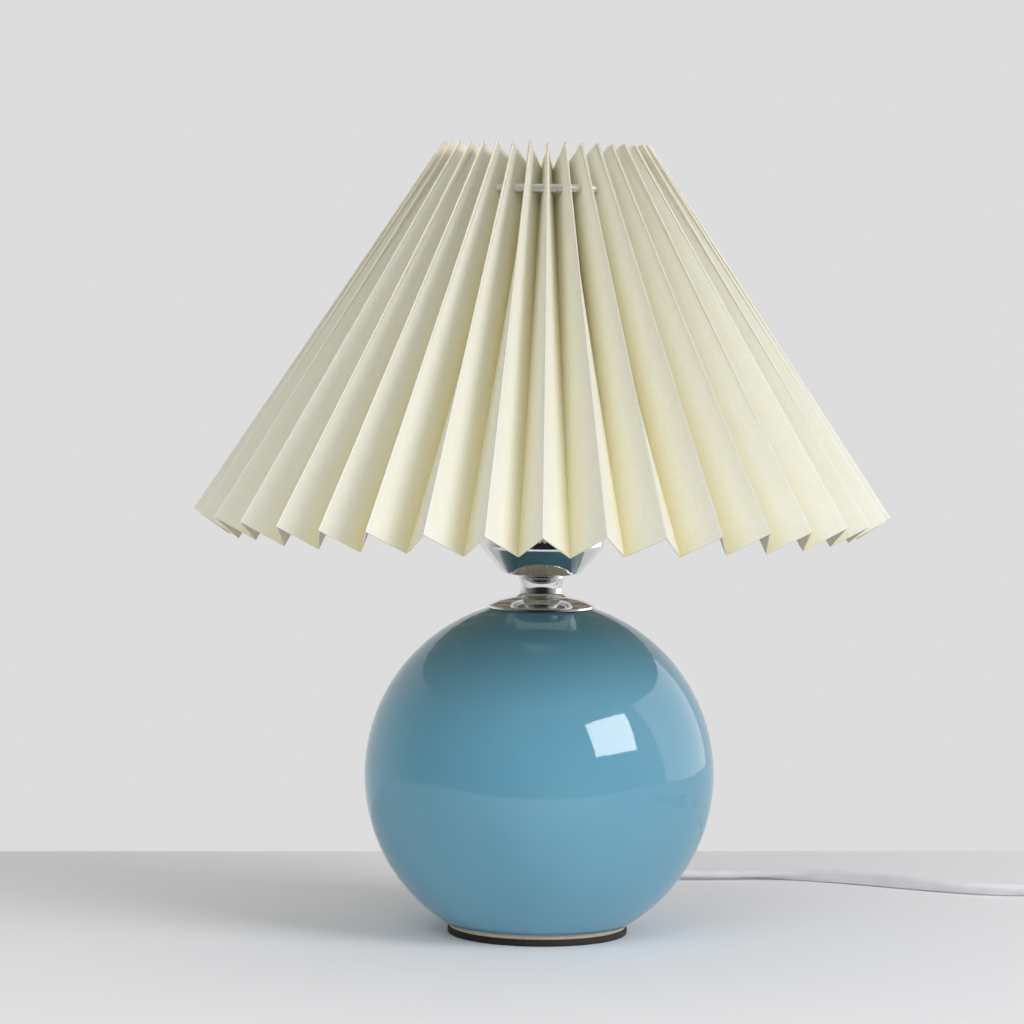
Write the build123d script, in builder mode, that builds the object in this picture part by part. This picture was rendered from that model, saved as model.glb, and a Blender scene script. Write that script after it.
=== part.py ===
from build123d import *
import os
from math import atan2, cos, pi, radians, sin, sqrt, tan

# Ceramic table lamp: a glazed ball on a soft pad, a chrome neck and cup, a screw-in
# bulb holder, and a pleated shade that hangs on a wire ring. Millimetres, +Z up,
# origin under the middle of the foot. The front of the lamp faces -Y.

os.makedirs("parts", exist_ok=True)

# Clearances
slip_gap = 0.1
butt_gap = 0.03
turn_gap = 0.3

# Foot pad
pad_radius = 32.4
pad_thickness = 2.3
pad_edge_radius = 0.6

# Ceramic ball
ball_radius = 63.0
ball_wall = 5.0
foot_radius = 32.0
foot_height = 1.7
glaze_edge_radius = 33.3
foot_opening_radius = 22.0
floor_height = 6.7
land_radius = 12.0
seat_radius = 17.0

# Clamping hardware, all on one hollow threaded tube
nipple_radius = 5.0
nipple_bore_radius = 3.6
nipple_tail_length = 2.5
hardware_hole = nipple_radius + slip_gap
ceramic_hole_radius = nipple_radius + 3.0
washer_radius = 15.0
washer_thickness = 1.5
lock_radius = 8.5
lock_thickness = 1.8
lock_slit_width = 1.4
nut_width = 15.0
nut_height = 5.0

# Chrome cap, neck and cup
cap_radius = 19.1
cap_sheet = 0.9
cap_lip_width = 0.9
cap_height = 4.1
cap_bulge_height = 0.5
neck_foot_radius = 9.0
neck_foot_height = 0.6
neck_waist_radius = 7.55
neck_top_radius = 8.3
neck_band_height = 0.9
neck_height = 8.1
neck_waist_height = 3.4
neck_flare_width_share = 0.25
neck_flare_height_share = 0.4
cup_floor_radius = 13.2
cup_rim_radius = 22.4
cup_bowl_height = 10.7
cup_height = 17.0
cup_bend_radius = 4.0
cup_sheet = 0.9

# Bulb holder
holder_foot_radius = 10.5
holder_radius = 19.8
holder_height = 21.0
holder_shoulder_height = 12.5
holder_wall = 1.6
holder_ledge_width = 1.8
boss_radius = 8.0
boss_height = 6.0
insert_height = 10.0
insert_depth = 5.0
skirt_collar_radius = 20.6
skirt_flange_radius = 24.0
skirt_flange_thickness = 2.6
skirt_collar_height = 5.4
skirt_thread_radius = 20.0
skirt_thread_height = 27.5
skirt_bore_radius = 16.2
shell_bore_radius = 13.4
shell_sheet = 0.5
shell_height = 22.0
leaf_sheet = 0.5
leaf_width = 5.0
leaf_height = 3.4
terminal_offset = 9.0
terminal_shank_radius = 1.5
terminal_head_radius = 2.8
terminal_head_height = 2.8
terminal_depth = 6.0

# Light bulb
bulb_contact_radius = 4.6
bulb_contact_height = 1.2
bulb_insulator_radius = 9.3
bulb_insulator_height = 3.3
bulb_cap_radius = 13.1
bulb_cap_sheet = 0.5
bulb_cap_height = 22.0
bulb_cap_shoulder_height = 2.7
bulb_plug_depth = 11.0
bulb_body_foot_radius = 14.2
bulb_body_radius = 17.6
bulb_body_height = 16.4
globe_radius = 22.5
globe_wall = 1.2

# Pleated shade: a straight strip folded to and fro, with its edges square to the folds
pleat_count = 38
panel_width = 17.2
shade_bottom_radius = 125.0
shade_top_radius = 37.5
shade_bottom_z = 152.8
shade_height = 131.7
shade_sheet = 0.6
fold_flat_width = 0.3
ridge_inset_bottom = 1.1
ridge_inset_top = 3.2

# Shade frame
fitter_radius = 26.6
fitter_thickness = 1.5
ring_radius = 38.5
ring_wire_diameter = 3.0
ring_depth = 16.2
arm_wire_diameter = 2.0
arm_foot_radius = 25.2
arm_pleats = (6, 19, 32)
arm_spread = radians(2.8)
ring_nut_radius = 23.6
ring_nut_height = 8.0
ring_nut_grooves = 16
ring_nut_groove_radius = 1.2

# Cord and its outlet in the back of the ball
cord_diameter = 4.4
cord_floor_z = 2.6
cord_corner_share = 0.45
outlet_z = 18.0
outlet_radius = 4.3
outlet_flange_radius = 6.0
outlet_flange_thickness = 2.5
outlet_reach_length = 16.9
outlet_straight_length = 10.0
outlet_end_radius = 3.2
lead_bend_radius = 32.0
lead_stub_length = 1.5
wire_radius = 0.8
wire_offset = 1.1
wire_stub_length = 2.0
wire_height = 5.0

# Hand switch on the cord
switch_x = 226.0
switch_y = 96.5
switch_length = 60.0
switch_width = 22.0
switch_lower_height = 6.5
switch_upper_height = 7.5
switch_corner_radius = 7.0
switch_wall = 1.8
switch_edge_radius = 2.2
window_length = 19.0
window_width = 11.0
cheek_length = 12.0
cheek_thickness = 1.4
rocker_pivot_depth = 4.0
rocker_tilt = 8.0
rocker_half_length = 8.6
rocker_low_height = 2.8
rocker_middle_height = 4.2
rocker_tip_height = 5.0
rocker_stub_radius = 1.2
rocker_stub_length = 1.2
stub_gap = 0.05
post_offset = 21.0
post_radius = 3.2
screw_radius = 1.2
screw_head_radius = 2.4
screw_head_height = 1.4
screw_depth = 9.0
strip_length = 11.0
strip_width = 3.0
strip_height = 2.4
strip_offset = 11.5

# Coil of the spare cord, its tie and the plug
coil_x = 292.0
coil_y = 20.0
coil_lift_height = 1.0
coil_radius = 40.8
coil_step_width = 2.7
coil_layer_height = 5.7
half_turns_in = 7
half_turns_out = 6
coil_stub_length = 5.2
tie_thickness = 0.9
tie_width = 10.0
tie_gap = 0.5
tie_corner_radius = 3.0
plug_length = 30.0
plug_width = 35.3
plug_thickness = 13.7
plug_neck_width = 12.0
plug_straight_length = 13.0
plug_edge_radius = 3.0
relief_length = 20.0
relief_radius = 4.6
relief_end_radius = 3.3
tail_length = 46.0
pin_radius = 2.0
pin_core_radius = 1.5
pin_length = 19.0
pin_spacing = 18.6
pin_depth = 5.0
sleeve_length = 10.0
sleeve_radius = 1.75
sleeve_gap = 0.05

# Heights of the stack, from the table up
body_base_z = pad_thickness
glaze_edge_z = body_base_z + foot_height
ball_z = glaze_edge_z + sqrt(ball_radius**2 - glaze_edge_radius**2)
land_z = ball_z + sqrt(ball_radius**2 - land_radius**2)
cavity_radius = ball_radius - ball_wall
seat_z = ball_z + sqrt(cavity_radius**2 - seat_radius**2)
floor_z = body_base_z + floor_height
floor_radius = sqrt(cavity_radius**2 - (ball_z - floor_z) ** 2)
washer_z = seat_z - washer_thickness
lock_z = washer_z - lock_thickness
nut_z = lock_z - nut_height
cap_lip_radius = cap_radius - cap_lip_width
cap_z = ball_z + sqrt(ball_radius**2 - cap_lip_radius**2)
cap_top_z = cap_z + cap_height
cup_z = cap_top_z + neck_height
cup_rim_z = cup_z + cup_height
holder_z = cup_z + cup_sheet
holder_top_z = holder_z + holder_height
boss_top_z = holder_z + boss_height
nipple_top_z = boss_top_z + nipple_tail_length
insert_radius = holder_radius - holder_wall - slip_gap
ledge_z = holder_top_z - insert_depth
insert_top_z = ledge_z + insert_height
skirt_inner_radius = holder_radius - holder_wall
flange_z = holder_top_z + skirt_collar_height
fitter_z = flange_z + skirt_flange_thickness + slip_gap
fitter_top_z = fitter_z + fitter_thickness
ring_nut_z = fitter_top_z + slip_gap
skirt_top_z = fitter_z - slip_gap + skirt_thread_height
bulb_z = insert_top_z + leaf_sheet + leaf_height + slip_gap
bulb_cap_z = bulb_z + bulb_contact_height + bulb_insulator_height
bulb_cap_top_z = bulb_cap_z + bulb_cap_height
globe_z = bulb_cap_top_z + bulb_body_height
globe_centre_z = globe_z + sqrt(globe_radius**2 - bulb_body_radius**2)
shade_top_z = shade_bottom_z + shade_height
ring_z = shade_top_z - ring_depth
lead_top_z = nipple_top_z + lead_stub_length
outlet_drop = ball_z - outlet_z
outlet_flange_front_y = sqrt(cavity_radius**2 - (outlet_drop + outlet_flange_radius) ** 2) - turn_gap
outlet_flange_y = outlet_flange_front_y - outlet_flange_thickness
outlet_taper_y = sqrt(ball_radius**2 - outlet_drop**2)
outlet_end_y = outlet_taper_y + outlet_reach_length
cord_radius = cord_diameter / 2
cord_hole = cord_radius + slip_gap

# Pleats
half_pitch = pi / pleat_count
fold_slope = atan2(shade_bottom_radius - shade_top_radius, shade_height)
front = -pi / 2


def pleat_depth(radius):
    """Depth of a pleat, square to its folds, that gives the panels their cut width."""
    bow = 1 - cos(half_pitch)
    lean = radius * cos(fold_slope) * bow
    return lean + sqrt(lean**2 + panel_width**2 - 2 * radius**2 * bow)


def inner_fold(radius, height):
    """Radius and height of the inner fold that lies square below an outer fold's end."""
    depth = pleat_depth(radius)
    return radius - depth * cos(fold_slope), height - depth * sin(fold_slope)


def polar(radius, angle):
    """A point in the level plane as a vector."""
    return Vector(radius * cos(angle), radius * sin(angle))


def valley_angle(index, spread):
    """Direction of the inner fold after an outer fold, spread where a frame arm lies inside."""
    angle = front + (2 * index + 1) * half_pitch
    if index % pleat_count in arm_pleats:
        angle += spread
    if (index + 1) % pleat_count in arm_pleats:
        angle -= spread
    return angle


def strip_edge(radius, height, spread, ridge_inset, depth_in):
    """One edge of the folded strip: per pleat the inner fold before it, its outer fold, and
    the inner fold after it. depth_in is 0 on the outside and the sheet on the inside."""
    valley_radius, valley_height = inner_fold(radius, height)
    points = []
    for index in range(pleat_count):
        before = valley_angle(index - 1, spread)
        ridge = front + 2 * index * half_pitch
        after = valley_angle(index, spread)
        side = fold_flat_width / 2 + depth_in
        low = Vector(0, 0, valley_height - depth_in * sin(fold_slope))
        high = Vector(0, 0, height - ridge_inset * sin(fold_slope))
        fold_radius = valley_radius - depth_in * cos(fold_slope)
        points.append(polar(fold_radius, before) + polar(side, before + pi / 2) + low)
        points.append(polar(radius - ridge_inset * cos(fold_slope), ridge) + high)
        points.append(polar(fold_radius, after) - polar(side, after + pi / 2) + low)
    return Wire.make_polygon(points, close=True)


def cord_radii(points):
    """Largest arc for each corner of a cord's route: a share of the shorter run, over the turn."""
    radii = []
    vectors = [Vector(*point) for point in points]
    for first, corner, last in zip(vectors, vectors[1:], vectors[2:]):
        into = corner - first
        away = last - corner
        turn = radians(into.get_angle(away))
        radii.append(cord_corner_share * min(into.length, away.length) / tan(turn / 2))
    return radii


# Foot pad
with BuildPart() as foot_pad:
    with BuildSketch():
        Circle(pad_radius)
    extrude(amount=pad_thickness)
    fillet(foot_pad.edges().sort_by(Axis.Z)[0], radius=pad_edge_radius)
foot_pad.part.label = "foot_pad"
export_step(foot_pad.part, "parts/foot_pad.step")

# Ceramic ball with its unglazed foot, open below and drilled at the back for the cord
with BuildPart() as ceramic_body:
    with BuildSketch(Plane.XZ):
        with BuildLine():
            Polyline(
                (foot_opening_radius, floor_z),
                (foot_opening_radius, body_base_z),
                (foot_radius, body_base_z),
                (foot_radius, glaze_edge_z),
                (glaze_edge_radius, glaze_edge_z),
            )
            ThreePointArc(
                (glaze_edge_radius, glaze_edge_z), (ball_radius, ball_z), (land_radius, land_z)
            )
            Polyline(
                (land_radius, land_z),
                (ceramic_hole_radius, land_z),
                (ceramic_hole_radius, seat_z),
                (seat_radius, seat_z),
            )
            ThreePointArc((seat_radius, seat_z), (cavity_radius, ball_z), (floor_radius, floor_z))
            Line((floor_radius, floor_z), (foot_opening_radius, floor_z))
        make_face()
    revolve(axis=Axis.Z)
    with BuildSketch(Plane.ZX):
        with Locations((outlet_z, 0)):
            Circle(outlet_radius + slip_gap)
    extrude(amount=ball_radius, mode=Mode.SUBTRACT)
ceramic_body.part.label = "ceramic_body"
export_step(ceramic_body.part, "parts/ceramic_body.step")

# Hollow threaded tube that clamps the neck to the ball
with BuildPart() as threaded_nipple:
    with BuildSketch(Plane.XY.offset(nut_z - nipple_tail_length)):
        Circle(nipple_radius)
        Circle(nipple_bore_radius, mode=Mode.SUBTRACT)
    extrude(amount=nipple_top_z - nut_z + nipple_tail_length)
threaded_nipple.part.label = "threaded_nipple"
export_step(threaded_nipple.part, "parts/threaded_nipple.step")

# Washer, spring washer and nut under the roof of the ball
with BuildPart() as clamp_washer:
    with BuildSketch(Plane.XY.offset(washer_z)):
        Circle(washer_radius)
        Circle(hardware_hole, mode=Mode.SUBTRACT)
    extrude(amount=washer_thickness)
clamp_washer.part.label = "clamp_washer"
export_step(clamp_washer.part, "parts/clamp_washer.step")

with BuildPart() as spring_washer:
    with BuildSketch(Plane.XY.offset(lock_z)):
        Circle(lock_radius)
        Circle(hardware_hole, mode=Mode.SUBTRACT)
        with Locations((lock_radius, 0)):
            Rectangle(2 * lock_radius, lock_slit_width, mode=Mode.SUBTRACT)
    extrude(amount=lock_thickness)
spring_washer.part.label = "spring_washer"
export_step(spring_washer.part, "parts/spring_washer.step")

with BuildPart() as clamp_nut:
    with BuildSketch(Plane.XY.offset(nut_z)):
        RegularPolygon(nut_width / 2, 6, major_radius=False)
        Circle(hardware_hole, mode=Mode.SUBTRACT)
    extrude(amount=nut_height)
clamp_nut.part.label = "clamp_nut"
export_step(clamp_nut.part, "parts/clamp_nut.step")

# Stamped chrome cap on top of the ball
cap_middle_radius = (cap_radius + neck_foot_radius) / 2
cap_edge_z = cap_z + cap_sheet
cap_middle_z = (cap_edge_z + cap_top_z) / 2 + cap_bulge_height
with BuildPart() as ball_cap:
    with BuildSketch(Plane.XZ):
        with BuildLine():
            Polyline(
                (neck_foot_radius, cap_top_z),
                (hardware_hole, cap_top_z),
                (hardware_hole, cap_top_z - cap_sheet),
                (neck_foot_radius - cap_lip_width, cap_top_z - cap_sheet),
            )
            ThreePointArc(
                (neck_foot_radius - cap_lip_width, cap_top_z - cap_sheet),
                (cap_middle_radius - cap_lip_width, cap_middle_z - cap_sheet),
                (cap_lip_radius, cap_z),
            )
            Polyline((cap_lip_radius, cap_z), (cap_radius, cap_z), (cap_radius, cap_edge_z))
            ThreePointArc(
                (cap_radius, cap_edge_z),
                (cap_middle_radius, cap_middle_z),
                (neck_foot_radius, cap_top_z),
            )
        make_face()
    revolve(axis=Axis.Z)
ball_cap.part.label = "ball_cap"
export_step(ball_cap.part, "parts/ball_cap.step")

# Waisted neck between cap and cup
neck_flare_z = cap_top_z + neck_foot_height
neck_waist_z = cap_top_z + neck_waist_height
neck_flare_width = neck_foot_radius - neck_waist_radius
neck_flare_middle_radius = neck_waist_radius + neck_flare_width_share * neck_flare_width
neck_flare_middle_z = neck_flare_z + neck_flare_height_share * (neck_waist_z - neck_flare_z)
neck_band_z = cup_z - neck_band_height
with BuildPart() as neck_spool:
    with BuildSketch(Plane.XZ):
        with BuildLine():
            Polyline(
                (neck_top_radius, neck_band_z),
                (neck_top_radius, cup_z),
                (hardware_hole, cup_z),
                (hardware_hole, cap_top_z),
                (neck_foot_radius, cap_top_z),
                (neck_foot_radius, neck_flare_z),
            )
            ThreePointArc(
                (neck_foot_radius, neck_flare_z),
                (neck_flare_middle_radius, neck_flare_middle_z),
                (neck_waist_radius, neck_waist_z),
            )
            Line((neck_waist_radius, neck_waist_z), (neck_top_radius, neck_band_z))
        make_face()
    revolve(axis=Axis.Z)
neck_spool.part.label = "neck_spool"
export_step(neck_spool.part, "parts/neck_spool.step")

# Chrome cup round the foot of the bulb holder: a flared bowl with an upright wall
cup_bowl_z = cup_z + cup_bowl_height
cup_flare = atan2(cup_rim_radius - cup_floor_radius, cup_bowl_height)
cup_floor_shift = cup_sheet * tan(pi / 4 - cup_flare / 2)
cup_wall_shift = cup_sheet * tan(cup_flare / 2)
with BuildPart() as holder_cup:
    with BuildSketch(Plane.XZ):
        with BuildLine():
            FilletPolyline(
                (hardware_hole, cup_z),
                (cup_floor_radius, cup_z),
                (cup_rim_radius, cup_bowl_z),
                (cup_rim_radius, cup_rim_z),
                radius=cup_bend_radius,
            )
            Line((cup_rim_radius, cup_rim_z), (cup_rim_radius - cup_sheet, cup_rim_z))
            FilletPolyline(
                (cup_rim_radius - cup_sheet, cup_rim_z),
                (cup_rim_radius - cup_sheet, cup_bowl_z + cup_wall_shift),
                (cup_floor_radius - cup_floor_shift, cup_z + cup_sheet),
                (hardware_hole, cup_z + cup_sheet),
                radius=cup_bend_radius - cup_sheet,
            )
            Line((hardware_hole, cup_z + cup_sheet), (hardware_hole, cup_z))
        make_face()
    revolve(axis=Axis.Z)
holder_cup.part.label = "holder_cup"
export_step(holder_cup.part, "parts/holder_cup.step")

# Bulb holder: base shell, insulating insert and threaded skirt
with BuildPart() as holder_base:
    with BuildSketch(Plane.XZ):
        with BuildLine():
            Polyline(
                (hardware_hole, holder_z),
                (holder_foot_radius, holder_z),
                (holder_radius, holder_z + holder_shoulder_height),
                (holder_radius, holder_top_z),
                (holder_radius - holder_wall, holder_top_z),
                (holder_radius - holder_wall, ledge_z),
                (holder_radius - holder_wall - holder_ledge_width, ledge_z),
                (holder_radius - holder_wall - holder_ledge_width, holder_z + holder_shoulder_height),
                (boss_radius, boss_top_z),
                (hardware_hole, boss_top_z),
                close=True,
            )
        make_face()
    revolve(axis=Axis.Z)
holder_base.part.label = "holder_base"
export_step(holder_base.part, "parts/holder_base.step")

with BuildPart() as holder_insert:
    with BuildSketch(Plane.XY.offset(ledge_z)):
        Circle(insert_radius)
    extrude(amount=insert_height)
    with BuildSketch(Plane.XY.offset(ledge_z)):
        with Locations((terminal_offset, 0), (-terminal_offset, 0)):
            Circle(terminal_shank_radius + slip_gap)
    extrude(amount=terminal_depth, mode=Mode.SUBTRACT)
holder_insert.part.label = "holder_insert"
export_step(holder_insert.part, "parts/holder_insert.step")

skirt_thread_z = fitter_z - slip_gap
with BuildPart() as holder_skirt:
    with BuildSketch(Plane.XZ):
        with BuildLine():
            Polyline(
                (skirt_inner_radius, holder_top_z),
                (skirt_collar_radius, holder_top_z),
                (skirt_collar_radius, flange_z - slip_gap),
                (skirt_flange_radius, flange_z),
                (skirt_flange_radius, skirt_thread_z),
                (skirt_thread_radius, skirt_thread_z),
                (skirt_thread_radius, skirt_top_z),
                (skirt_bore_radius, skirt_top_z),
                (skirt_bore_radius, insert_top_z + slip_gap),
                (skirt_inner_radius, insert_top_z + slip_gap),
                close=True,
            )
        make_face()
    revolve(axis=Axis.Z)
holder_skirt.part.label = "holder_skirt"
export_step(holder_skirt.part, "parts/holder_skirt.step")

# Metal shell that the bulb screws into
with BuildPart() as screw_shell:
    with BuildSketch(Plane.XY.offset(insert_top_z)):
        Circle(shell_bore_radius + shell_sheet)
        Circle(shell_bore_radius, mode=Mode.SUBTRACT)
    extrude(amount=shell_height)
screw_shell.part.label = "screw_shell"
export_step(screw_shell.part, "parts/screw_shell.step")

# Sprung contact leaf in the middle of the holder
leaf_tip_z = insert_top_z + leaf_sheet + leaf_height
with BuildPart() as centre_contact:
    with BuildSketch(Plane.XZ):
        with BuildLine():
            Polyline(
                (terminal_offset, insert_top_z),
                (terminal_offset, insert_top_z + leaf_sheet),
                (leaf_width / 2, insert_top_z + leaf_sheet),
                (-leaf_sheet, leaf_tip_z),
                (-leaf_width, leaf_tip_z),
                (-leaf_width, leaf_tip_z - leaf_sheet),
                (-2 * leaf_sheet, leaf_tip_z - leaf_sheet),
                (leaf_width / 2 - leaf_sheet, insert_top_z),
                close=True,
            )
        make_face()
    extrude(amount=leaf_width / 2, both=True)
centre_contact.part.label = "centre_contact"
export_step(centre_contact.part, "parts/centre_contact.step")

# Two terminal screws under the insert
with BuildPart() as terminal_screws:
    with BuildSketch(Plane.XY.offset(ledge_z - terminal_head_height)):
        with Locations((terminal_offset, 0), (-terminal_offset, 0)):
            Circle(terminal_head_radius)
    extrude(amount=terminal_head_height)
    with BuildSketch(Plane.XY.offset(ledge_z)):
        with Locations((terminal_offset, 0), (-terminal_offset, 0)):
            Circle(terminal_shank_radius)
    extrude(amount=terminal_depth)
terminal_screws.part.label = "terminal_screws"
export_step(terminal_screws.part, "parts/terminal_screws.step")

# Light bulb: contact, insulator, screw cap, body and globe
with BuildPart() as bulb_contact:
    with BuildSketch(Plane.XY.offset(bulb_z)):
        Circle(bulb_contact_radius)
    extrude(amount=bulb_contact_height)
    chamfer(bulb_contact.edges().sort_by(Axis.Z)[0], length=bulb_contact_height / 2)
bulb_contact.part.label = "bulb_contact"
export_step(bulb_contact.part, "parts/bulb_contact.step")

with BuildPart() as bulb_insulator:
    with BuildSketch(Plane.XZ):
        Polygon(
            (0, bulb_z + bulb_contact_height),
            (bulb_contact_radius, bulb_z + bulb_contact_height),
            (bulb_insulator_radius, bulb_cap_z),
            (0, bulb_cap_z),
            align=None,
        )
    revolve(axis=Axis.Z)
bulb_insulator.part.label = "bulb_insulator"
export_step(bulb_insulator.part, "parts/bulb_insulator.step")

with BuildPart() as bulb_screw_cap:
    with BuildSketch(Plane.XZ):
        with BuildLine():
            Polyline(
                (0, bulb_cap_z),
                (bulb_insulator_radius, bulb_cap_z),
                (bulb_cap_radius, bulb_cap_z + bulb_cap_shoulder_height),
                (bulb_cap_radius, bulb_cap_top_z),
                (bulb_cap_radius - bulb_cap_sheet, bulb_cap_top_z),
                (bulb_cap_radius - bulb_cap_sheet, bulb_cap_z + bulb_cap_shoulder_height + bulb_cap_sheet),
                (bulb_insulator_radius, bulb_cap_z + 2 * bulb_cap_sheet),
                (0, bulb_cap_z + 2 * bulb_cap_sheet),
                close=True,
            )
        make_face()
    revolve(axis=Axis.Z)
bulb_screw_cap.part.label = "bulb_screw_cap"
export_step(bulb_screw_cap.part, "parts/bulb_screw_cap.step")

bulb_plug_radius = bulb_cap_radius - bulb_cap_sheet - slip_gap
with BuildPart() as bulb_body:
    with BuildSketch(Plane.XZ):
        Polygon(
            (0, bulb_cap_top_z - bulb_plug_depth),
            (bulb_plug_radius, bulb_cap_top_z - bulb_plug_depth),
            (bulb_plug_radius, bulb_cap_top_z),
            (bulb_body_foot_radius, bulb_cap_top_z),
            (bulb_body_radius, globe_z),
            (0, globe_z),
            align=None,
        )
    revolve(axis=Axis.Z)
bulb_body.part.label = "bulb_body"
export_step(bulb_body.part, "parts/bulb_body.step")

globe_inner_radius = globe_radius - globe_wall
globe_inner_foot = sqrt(globe_inner_radius**2 - (globe_centre_z - globe_z) ** 2)
with BuildPart() as bulb_globe:
    with BuildSketch(Plane.XZ):
        with BuildLine():
            ThreePointArc(
                (bulb_body_radius, globe_z),
                (globe_radius, globe_centre_z),
                (0, globe_centre_z + globe_radius),
            )
            Line((0, globe_centre_z + globe_radius), (0, globe_centre_z + globe_inner_radius))
            ThreePointArc(
                (0, globe_centre_z + globe_inner_radius),
                (globe_inner_radius, globe_centre_z),
                (globe_inner_foot, globe_z),
            )
            Line((globe_inner_foot, globe_z), (bulb_body_radius, globe_z))
        make_face()
    revolve(axis=Axis.Z)
bulb_globe.part.label = "bulb_globe"
export_step(bulb_globe.part, "parts/bulb_globe.step")

# Shade frame: flat fitter ring, three wire arms and the wire ring that carries the pleats
with BuildPart() as fitter_ring:
    with BuildSketch(Plane.XY.offset(fitter_z)):
        Circle(fitter_radius)
        Circle(skirt_thread_radius + turn_gap, mode=Mode.SUBTRACT)
    extrude(amount=fitter_thickness)
fitter_ring.part.label = "fitter_ring"
export_step(fitter_ring.part, "parts/fitter_ring.step")

arm_rise = ring_z - fitter_top_z
with BuildPart() as frame_arms:
    for pleat in arm_pleats:
        heading = front + 2 * pleat * half_pitch
        foot = polar(arm_foot_radius, heading)
        lean = polar(ring_radius - arm_foot_radius, heading) + Vector(0, 0, arm_rise)
        with BuildSketch(Plane.XY.offset(fitter_top_z)):
            with Locations(foot):
                Circle(arm_wire_diameter / 2)
        extrude(amount=lean.length, dir=lean.normalized())
frame_arms.part.label = "frame_arms"
export_step(frame_arms.part, "parts/frame_arms.step")

with BuildPart() as hanging_ring:
    with Locations((0, 0, ring_z)):
        Torus(ring_radius, ring_wire_diameter / 2)
hanging_ring.part.label = "hanging_ring"
export_step(hanging_ring.part, "parts/hanging_ring.step")

# Pleated shade: ruled panels from edge to edge, outside and inside, closed along both edges
outside_bottom = strip_edge(shade_bottom_radius, shade_bottom_z, 0, 0, 0)
outside_top = strip_edge(shade_top_radius, shade_top_z, arm_spread, 0, 0)
inside_bottom = strip_edge(shade_bottom_radius, shade_bottom_z, 0, ridge_inset_bottom, shade_sheet)
inside_top = strip_edge(shade_top_radius, shade_top_z, arm_spread, ridge_inset_top, shade_sheet)
shade_faces = []
for first, second in (
    (outside_bottom, outside_top),
    (inside_bottom, inside_top),
    (outside_bottom, inside_bottom),
    (outside_top, inside_top),
):
    shade_faces += Shell.make_loft([first, second], ruled=True).faces()
with BuildPart() as pleated_shade:
    add(Solid(Shell(shade_faces)))
pleated_shade.part.label = "pleated_shade"
export_step(pleated_shade.part, "parts/pleated_shade.step")

# Ring nut that clamps the fitter ring on the holder
with BuildPart() as ring_nut:
    with BuildSketch(Plane.XY.offset(ring_nut_z)):
        Circle(ring_nut_radius)
        Circle(skirt_thread_radius + turn_gap, mode=Mode.SUBTRACT)
        with PolarLocations(ring_nut_radius + ring_nut_groove_radius / 2, ring_nut_grooves):
            Circle(ring_nut_groove_radius, mode=Mode.SUBTRACT)
    extrude(amount=ring_nut_height)
ring_nut.part.label = "ring_nut"
export_step(ring_nut.part, "parts/ring_nut.step")

# Tapered cord outlet in the back of the ball, with a flange inside
outlet_plane = Plane(origin=(0, 0, outlet_z), x_dir=(0, 1, 0), z_dir=(1, 0, 0))
with BuildPart() as cord_outlet:
    with BuildSketch(outlet_plane):
        Polygon(
            (outlet_flange_y, cord_hole),
            (outlet_flange_y, outlet_flange_radius),
            (outlet_flange_front_y, outlet_flange_radius),
            (outlet_flange_front_y, outlet_radius),
            (outlet_taper_y, outlet_radius),
            (outlet_end_y, outlet_end_radius),
            (outlet_end_y, cord_hole),
            align=None,
        )
    revolve(axis=Axis((0, 0, outlet_z), (0, 1, 0)))
cord_outlet.part.label = "cord_outlet"
export_step(cord_outlet.part, "parts/cord_outlet.step")

# Lead inside the lamp, from the outlet up the threaded tube to the bulb holder
with BuildPart() as inner_lead:
    with BuildLine() as inner_route:
        FilletPolyline(
            (0, outlet_end_y, outlet_z), (0, 0, outlet_z), (0, 0, lead_top_z), radius=lead_bend_radius
        )
    with BuildSketch(Plane(origin=inner_route.line @ 0, z_dir=inner_route.line % 0)):
        Circle(cord_radius)
    sweep()
inner_lead.part.label = "inner_lead"
export_step(inner_lead.part, "parts/inner_lead.step")

# Two bare-ended wires from the lead to the terminal screws
wire_end = terminal_offset - terminal_head_radius - wire_radius / 2 - slip_gap
with BuildPart() as terminal_wires:
    for side in (-1, 1):
        with BuildLine() as wire_route:
            FilletPolyline(
                (side * wire_offset, 0, lead_top_z),
                (side * wire_offset, 0, lead_top_z + wire_stub_length),
                (side * wire_end, 0, lead_top_z + wire_height),
                radius=wire_radius,
            )
        with BuildSketch(Plane(origin=wire_route.line @ 0, z_dir=wire_route.line % 0)):
            Circle(wire_radius)
        sweep()
terminal_wires.part.label = "terminal_wires"
export_step(terminal_wires.part, "parts/terminal_wires.step")

# Cord from the outlet, behind the ball and along the table to the hand switch
switch_parting_z = switch_lower_height
cord_run_points = [
    (0.0, outlet_end_y + butt_gap, outlet_z),
    (0.0, outlet_end_y + outlet_straight_length, outlet_z),
    (3.0, 94.0, 12.5),
    (10.0, 110.0, 5.6),
    (22.0, 119.5, cord_floor_z + 0.4),
    (43.0, 124.5, cord_floor_z),
    (69.0, 129.8, cord_floor_z),
    (97.0, 131.5, cord_floor_z),
    (123.0, 122.0, cord_floor_z),
    (147.0, 108.5, cord_floor_z),
    (170.0, 97.5, cord_floor_z),
    (192.0, 95.5, cord_floor_z),
    (208.0, 96.2, 4.6),
    (219.0, switch_y, switch_parting_z),
    (switch_x - butt_gap, switch_y, switch_parting_z),
]
cord_run_radii = cord_radii(cord_run_points)
with BuildPart() as cord_run:
    with BuildLine() as run_route:
        FilletPolyline(*cord_run_points, radius=cord_run_radii)
    with BuildSketch(Plane(origin=run_route.line @ 0, z_dir=run_route.line % 0)):
        Circle(cord_radius)
    sweep()
cord_run.part.label = "cord_run"
export_step(cord_run.part, "parts/cord_run.step")

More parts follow.
